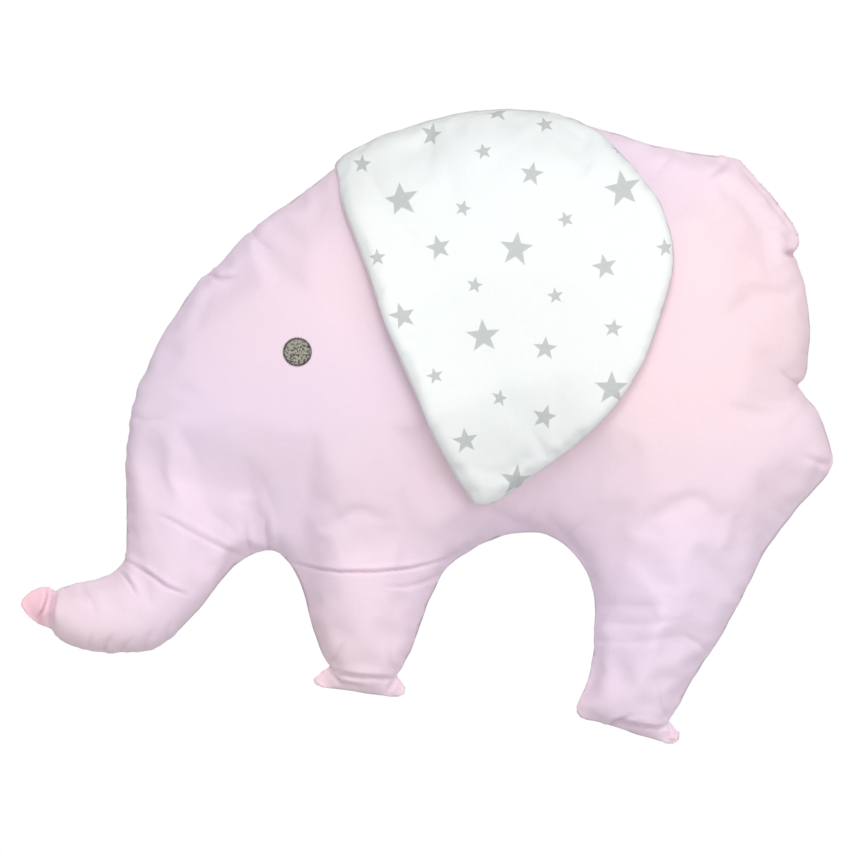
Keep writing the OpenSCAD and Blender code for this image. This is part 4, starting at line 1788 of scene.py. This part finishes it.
    def flat_stars(self) -> tuple[Star, ...]:
        """Finds where the stars lie on the cloth as cut, from where they are seen from above."""
        seen = np.flatnonzero(self.outer_points(self.bag) & (self.bag.normals()[:, 2] > 0.05))
        places = self.bag.points[seen, :2]
        found = []
        for star in STARS:
            near = reach_from(places, star.x, star.y)
            pick = near.argsort()[:4]
            share = 1 / (near[pick] + 0.2)
            x, y = (self.bag.flat[seen[pick]] * share[:, None]).sum(0) / share.sum()
            found.append(replace(star, x=float(x), y=float(y)))
        return tuple(found)

    def cloth_piece(self, name: str, upper: bool) -> Piece:
        """Makes one of the ear's two cloths.

        Args:
            name: The piece's name.
            upper: True for the cloth that lies higher.

        Returns:
            The closed cloth.
        """
        points, faces, used = self.bag.cloth(upper)
        points = points.copy()
        on_edge = self.bag.edge[used]
        points[on_edge, 2] += 0.06 if upper else -0.06
        gap = self.gap_to("free", self.bag.flat[used])
        # near the sewn edge: a little of the deeper seam colour, and a painted shade line standing in for the
        # shadow at the ear's edge
        marks = {TINT: 0.3 * np.exp(-gap / 1.2), FOLD: 0.4 * np.exp(-(gap / 1.3) ** 2)}
        return thick_cloth(name, points, faces, self.bag.flat[used], self.cloth, marks)

    def inner_bag(self, depth: float, low: float, high: float) -> tuple[Array, Array]:
        """Takes a closed inner shape from the ear, between two distances from its free edge.

        Args:
            depth: How far under the cloths it lies, in mm.
            low: Least distance from the free edge, in mm.
            high: Greatest distance, in mm.

        Returns:
            Its points and faces.
        """
        bag = self.bag
        gap = self.gap_to("free", bag.flat)
        keep = (gap >= low) & (gap <= high) & (self.gap_to("root", bag.flat) > self.root_clear) & ~bag.edge
        outer = self.outer_points(bag)
        key = [tuple(place) for place in np.round(bag.flat, 4)]
        partner = {key[i]: i for i in np.flatnonzero(~bag.edge & outer)}
        pairs = {i: partner[key[i]] for i in np.flatnonzero(~bag.edge & ~outer) if key[i] in partner}
        points = bag.points.copy()
        for i, j in pairs.items():
            span = points[j] - points[i]
            length = max(np.linalg.norm(span), TOUCHING)
            step = min(depth, 0.42 * length) * span / length
            points[i] = bag.points[i] + step
            points[j] = bag.points[j] - step
        faces = bag.faces[keep[bag.faces].all(1)]
        paired = np.zeros(len(points), bool)
        paired[list(pairs)] = True
        paired[list(pairs.values())] = True
        faces = faces[paired[faces].all(1)]
        twin = np.arange(len(points))
        for i, j in pairs.items():
            twin[i], twin[j] = j, i
        shown = faces[outer[faces].all(1)]
        hidden = twin[shown][:, ::-1]
        directed = directed_edges(shown)
        lookup = {tuple(row) for row in directed.tolist()}
        walls = [(b, a, twin[a], twin[b]) for a, b in directed.tolist() if (b, a) not in lookup]
        rows = shown.tolist() + hidden.tolist() + walls
        used, compact = np.unique(np.concatenate([np.ravel(r) for r in rows]), return_inverse=True)
        sizes = [len(r) for r in rows]
        split = np.split(compact, np.cumsum(sizes)[:-1])
        return points[used], [list(map(int, r)) for r in split]

    def wadding_piece(self, name: str) -> Piece:
        """Makes the pad between the two cloths."""
        points, faces = self.inner_bag(self.cloth + 0.35, 5.2, 1e9)
        pad = object_from(name, points, faces)
        outward(pad)
        return pad

    def edge_piece(self, name: str) -> Piece:
        """Makes the raw edges turned to the inside of the ear's seam."""
        points, faces = self.inner_bag(self.cloth + 0.25, 0.8, 5.0)
        strip = object_from(name, points, faces, points[:, :2])
        outward(strip)
        set_cut_map(strip.data, vertex_rows(strip.data)[:, :2])
        return strip


# ---- Needlework --------------------


EYE_CENTRE: Vec2 = (-100.0, 17.4)
SATIN_LENGTH = 4.0
WHIP_LENGTH = 1.9
WHIP_LEAN = 28.0


def model_stitch(name: str, length: float, radius: float) -> Piece:
    """Models one stitch: a short round thread with drawn-in ends, lying along Y.

    Args:
        name: The object's name.
        length: Its length, in mm.
        radius: Its radius, in mm.

    Returns:
        The stitch, in metres, centred on the origin.
    """
    deselect_all()
    bpy.ops.mesh.primitive_cylinder_add(vertices=8, radius=radius * MM, depth=length * MM,
                                        end_fill_type="TRIFAN", location=(0, 0, 0))
    stitch = bpy.context.active_object
    stitch.name = stitch.data.name = name
    bpy.ops.object.mode_set(mode="EDIT")
    for share in (-0.42, -0.2, 0.0, 0.2, 0.42):
        bpy.ops.mesh.select_all(action="SELECT")
        bpy.ops.mesh.bisect(plane_co=(0, 0, share * length * MM), plane_no=(0, 0, 1))
    bpy.ops.mesh.select_all(action="DESELECT")
    bpy.ops.object.mode_set(mode="OBJECT")
    for vert in stitch.data.vertices:
        vert.select = abs(vert.co.z) > 0.49 * length * MM
    bpy.ops.object.mode_set(mode="EDIT")
    bpy.ops.mesh.select_mode(type="VERT")
    bpy.ops.transform.resize(value=(0.45, 0.45, 1.0), center_override=(0, 0, 0))
    bpy.ops.object.mode_set(mode="OBJECT")
    stitch.data.transform(Matrix.Rotation(-math.pi / 2, 4, "X"))
    return stitch


@dataclass(frozen=True)
class StitchPlace:
    """Where one copy of a stitch goes: middle and direction in mm and degrees, and its length share."""

    x: float
    y: float
    turn: float
    stretch: float
    raised: float = 0.0


def lay_stitches(name: str, pattern: Piece, places: list[StitchPlace], side: Side,
                 surface: BVHTree, dip: float) -> Piece:
    """Copies a stitch to many places and lays the copies on the cloth.

    Args:
        name: Name of the joined stitches.
        pattern: The stitch to copy, lying along Y.
        places: Where the copies go.
        side: The face of the pillow.
        surface: Search tree of the cloth, in mm.
        dip: How far the ends of a stitch go into the cloth, in mm.

    Returns:
        The joined stitches.
    """
    copies = []
    reach = max(abs(v.co.y) for v in pattern.data.vertices)
    for place in places:
        copy = linked(name, pattern.data.copy())
        turn = math.radians(place.turn)
        for vert in copy.data.vertices:
            share = vert.co.y / reach
            along = vert.co.y / MM * place.stretch
            across = vert.co.x / MM
            x = place.x + across * math.cos(turn) - along * math.sin(turn)
            y = place.y + across * math.sin(turn) + along * math.cos(turn)
            hit = surface.ray_cast(Vector((x, y, FAR_OFF * side.value)), Vector((0, 0, -side.value)))[0]
            over = vert.co.z / MM + place.raised - dip * share**4
            vert.co = Vector((x, y, hit.z + over * side.value)) * MM
        copies.append(copy)
    return join_copies(copies, name)


@dataclass
class Eye:
    """One embroidered eye: satin stitches across, and a whipped rim round them.

    Attributes:
        side: The face of the pillow that it is on.
        radius: Outer radius of the rim, in mm.
        rim: Width of the rim, in mm.
        rows: How many rows of satin stitches there are.
        whips: How many stitches go round the rim.
        height: How far the threads stand off the cloth, in mm.
    """

    side: Side
    body: StuffedBody
    wardrobe: Wardrobe
    radius: float = 9.1
    rim: float = 1.25
    rows: int = 25
    whips: int = 58
    height: float = 0.22

    def build(self) -> None:
        """Makes the satin filling and the whipped rim."""
        surface = self.body.tree(self.body.fine)
        centre = np.array(EYE_CENTRE)
        name = self.side.word + "_eye"
        inside = self.radius - 0.55 * self.rim
        thread = model_stitch("satin_stitch", SATIN_LENGTH, 0.40)
        places = []
        slant = PICTURE_TURN * self.side.value
        turn = math.radians(slant)
        for row in range(self.rows):
            across = (2 * (row + 0.5) / self.rows - 1) * inside
            half = math.sqrt(max(inside**2 - across**2, 0.5))
            parts = 1 if half < 3 else 2 if half < 6 else 3
            breaks = [-half]
            for cut in range(1, parts):
                jitter = 1.3 * noise.noise(Vector((row * 0.71, cut * 3.3, 0.5)))
                breaks.append(-half + 2 * half * cut / parts + jitter)
            breaks.append(half)
            for low, high in zip(breaks, breaks[1:]):
                along, length = (low + high) / 2, high - low
                lean = slant + 5 * noise.noise(Vector((row * 0.37, along, 2.0)))
                x = centre[0] + across * math.cos(turn) - along * math.sin(turn)
                y = centre[1] + across * math.sin(turn) + along * math.cos(turn)
                raised = self.height + 0.12 * noise.noise(Vector((row * 1.9, along * 0.7, 7.0)))
                places.append(StitchPlace(x, y, lean, (length + 0.5) / SATIN_LENGTH, raised))
        fill = lay_stitches(name + "_satin", thread, places, self.side, surface, 0.35)
        finish_piece(fill, "pillow", self.wardrobe.material(self.wardrobe.satin), "eye_thread",
                     name + "_fill")
        bpy.data.objects.remove(thread)
        whip = model_stitch("whip_stitch", WHIP_LENGTH, 0.30)
        ring = []
        for step in range(self.whips):
            angle = 2 * math.pi * (step + 0.25 * noise.noise(Vector((step * 1.3, 0, 0)))) / self.whips
            middle = self.radius - self.rim / 2
            x = centre[0] + middle * math.cos(angle)
            y = centre[1] + middle * math.sin(angle)
            lean = math.degrees(angle) - 90 + WHIP_LEAN
            ring.append(StitchPlace(x, y, lean, 1.0, self.height + 0.12))
        rim = lay_stitches(name + "_whipping", whip, ring, self.side, surface, 0.3)
        finish_piece(rim, "pillow", self.wardrobe.material(self.wardrobe.whip), "eye_rim_thread",
                     name + "_rim")
        bpy.data.objects.remove(whip)


@dataclass
class ClosingSeam:
    """The hand-sewn ladder stitches that close the rump after stuffing.

    Attributes:
        count: How many stitches.
        length: Length of one across the seam, in mm.
        radius: Thread radius, in mm.
    """

    body: StuffedBody
    wardrobe: Wardrobe
    count: int = 9
    length: float = 5.0
    radius: float = 0.36

    def build(self) -> None:
        """Lays the stitches over the seam between the two notches of the rump."""
        starts = self.body.run_starts
        count = starts[CLOSED_RUN + 1] - starts[CLOSED_RUN]
        line = self.body.fine.points[starts[CLOSED_RUN]:starts[CLOSED_RUN] + count + 1]
        tree = self.body.tree(self.body.fine)
        pattern = model_stitch("ladder_stitch", self.length, self.radius)
        copies = []
        for step in range(self.count):
            share = (step + 0.6) / (self.count + 0.4) * (len(line) - 1)
            low = min(int(share), len(line) - 2)
            middle = line[low] + (share - low) * (line[low + 1] - line[low])
            run = line[low + 1] - line[low]
            out = np.array([-run[1], run[0], 0.0])
            out /= np.linalg.norm(out)
            lean = 0.5 * (1 if step % 2 else -1)
            copy = linked("closing_ladder_stitches", pattern.data.copy())
            along = run / np.linalg.norm(run)
            for vert in copy.data.vertices:
                up = vert.co.y / MM
                place = middle + along * (vert.co.x / MM + lean * up / self.length) + UP * up + out * 30
                hit = tree.ray_cast(Vector(place), Vector(-out))[0]
                if hit is None:
                    hit = Vector(middle + UP * up)
                over = vert.co.z / MM + self.radius * 0.7 - 0.5 * (2 * up / self.length) ** 4
                vert.co = (hit + Vector(out) * over) * MM
            copies.append(copy)
        stitches = join_copies(copies, "closing_ladder_stitches")
        finish_piece(stitches, "pillow", self.wardrobe.material(self.wardrobe.sewing), "pink_thread",
                     "closing_stitches")
        bpy.data.objects.remove(pattern)


# ---- Studio --------------------


@dataclass
class Studio:
    """Floor, lights and camera.

    Attributes:
        centre: Place that the camera looks down on, in mm.
        turn: Turn of the picture about the vertical, in degrees.
        view_width: Width seen at the height of the seam, in mm.
        distance: Camera height over the seam, in mm.
        sensor: Width of the camera's sensor, in mm.
        horizon: Brightness of the surround at the horizon.
        zenith: Brightness of the surround overhead.
    """

    centre: Vec2 = (-10.5, -16.3)
    turn: float = PICTURE_TURN
    view_width: float = 547.0
    distance: float = 8000.0
    sensor: float = 36.0
    horizon: float = 0.42
    zenith: float = 0.95

    def build(self) -> None:
        """Makes all of it."""
        self.floor()
        self.sky()
        self.lamps()
        self.camera()
        bpy.context.scene.view_settings.view_transform = "Standard"

    def floor(self) -> None:
        """Makes the pale floor, which doesn't hide the object from below."""
        deselect_all()
        bpy.ops.mesh.primitive_circle_add(vertices=64, radius=2.6, fill_type="NGON", location=(0, 0, -0.0006))
        floor = bpy.context.active_object
        floor.name = "floor"
        made, bench, shader = new_finish("pale_floor")
        bench.plug(shader, {"Base Color": (0.45, 0.45, 0.45, 1), "Roughness": 0.9})
        white = bench.node("Emission", {"Color": (1, 1, 1, 1), "Strength": 1.0})
        clear = bench.node("BsdfTransparent")
        seen = bench.node("LightPath").outputs["Is Camera Ray"]
        shown = bench.node("MixShader", {0: seen, 1: shader.outputs[0], 2: white.outputs[0]})
        below = bench.node("NewGeometry").outputs["Backfacing"]
        mixed = bench.node("MixShader", {0: below, 1: shown.outputs[0], 2: clear.outputs[0]})
        bench.plug(made.node_tree.nodes["Material Output"], {0: mixed.outputs[0]})
        floor.data.materials.append(made)

    def sky(self) -> None:
        """Sets a plain white surround that is dimmer towards the horizon."""
        world = bpy.data.worlds.new("studio")
        world.use_nodes = True
        bench = NodeBench(world.node_tree)
        background = world.node_tree.nodes["Background"]
        height = bench.node("SeparateXYZ", {0: bench.node("TexCoord").outputs["Generated"]}).outputs[2]
        glow = bench.ranged(height, 0.0, 1.0, self.horizon, self.zenith)
        seen = bench.node("LightPath").outputs["Is Camera Ray"]
        bench.plug(background, {0: (1, 1, 1, 1), 1: bench.math("MAXIMUM", glow, seen)})
        bpy.context.scene.world = world

    def lamps(self) -> None:
        """Hangs the soft lamps: a large one over the back, and a weak one over the trunk."""
        turn = math.radians(self.turn)
        up = Vector((-math.sin(turn), math.cos(turn), 0))
        right = Vector((math.cos(turn), math.sin(turn), 0))
        lamps = (("key", up * 1.4 + Vector((0, 0, 1.8)), 0.8, 14.6),
                 ("fill", right * 1.2 + up * 0.2 + Vector((0, 0, 1.5)), 1.2, 6.0))
        for name, place, size, power in lamps:
            light = bpy.data.lights.new(name, "AREA")
            light.size, light.energy = size, power
            light.color = (1.0, 0.995, 0.99)
            lamp = linked(name, light)
            lamp.location = place
            lamp.rotation_mode = "QUATERNION"
            lamp.rotation_quaternion = (Vector((0, 0, SEAM_Z * MM)) - place).to_track_quat("-Z", "Y")

    def camera(self) -> None:
        """Hangs the camera over the pillow, looking straight down."""
        data = bpy.data.cameras.new("camera")
        data.sensor_width = self.sensor
        data.lens = self.sensor * self.distance / self.view_width
        data.clip_start, data.clip_end = 0.05, 20
        camera = linked("camera", data)
        camera.location = (self.centre[0] * MM, self.centre[1] * MM, (SEAM_Z + self.distance) * MM)
        camera.rotation_euler = (0, 0, math.radians(self.turn))
        bpy.context.scene.camera = camera


def main() -> None:
    """Builds the elephant piece by piece."""
    logging.basicConfig(level=logging.INFO, format="%(name)s: %(message)s", stream=sys.stdout)
    Studio().build()
    wardrobe = Wardrobe()
    body = StuffedBody(wardrobe)
    body.build()
    for side in Side:
        fit = {} if side is Side.LEFT else {"thickness": 8.0, "gap": 0.45, "lift": 0.0}
        EarFlap(side, body, wardrobe, **fit).build()
        Eye(side, body, wardrobe).build()
    ClosingSeam(body, wardrobe).build()
    bpy.context.view_layer.update()


if __name__ == "__main__":
    main()
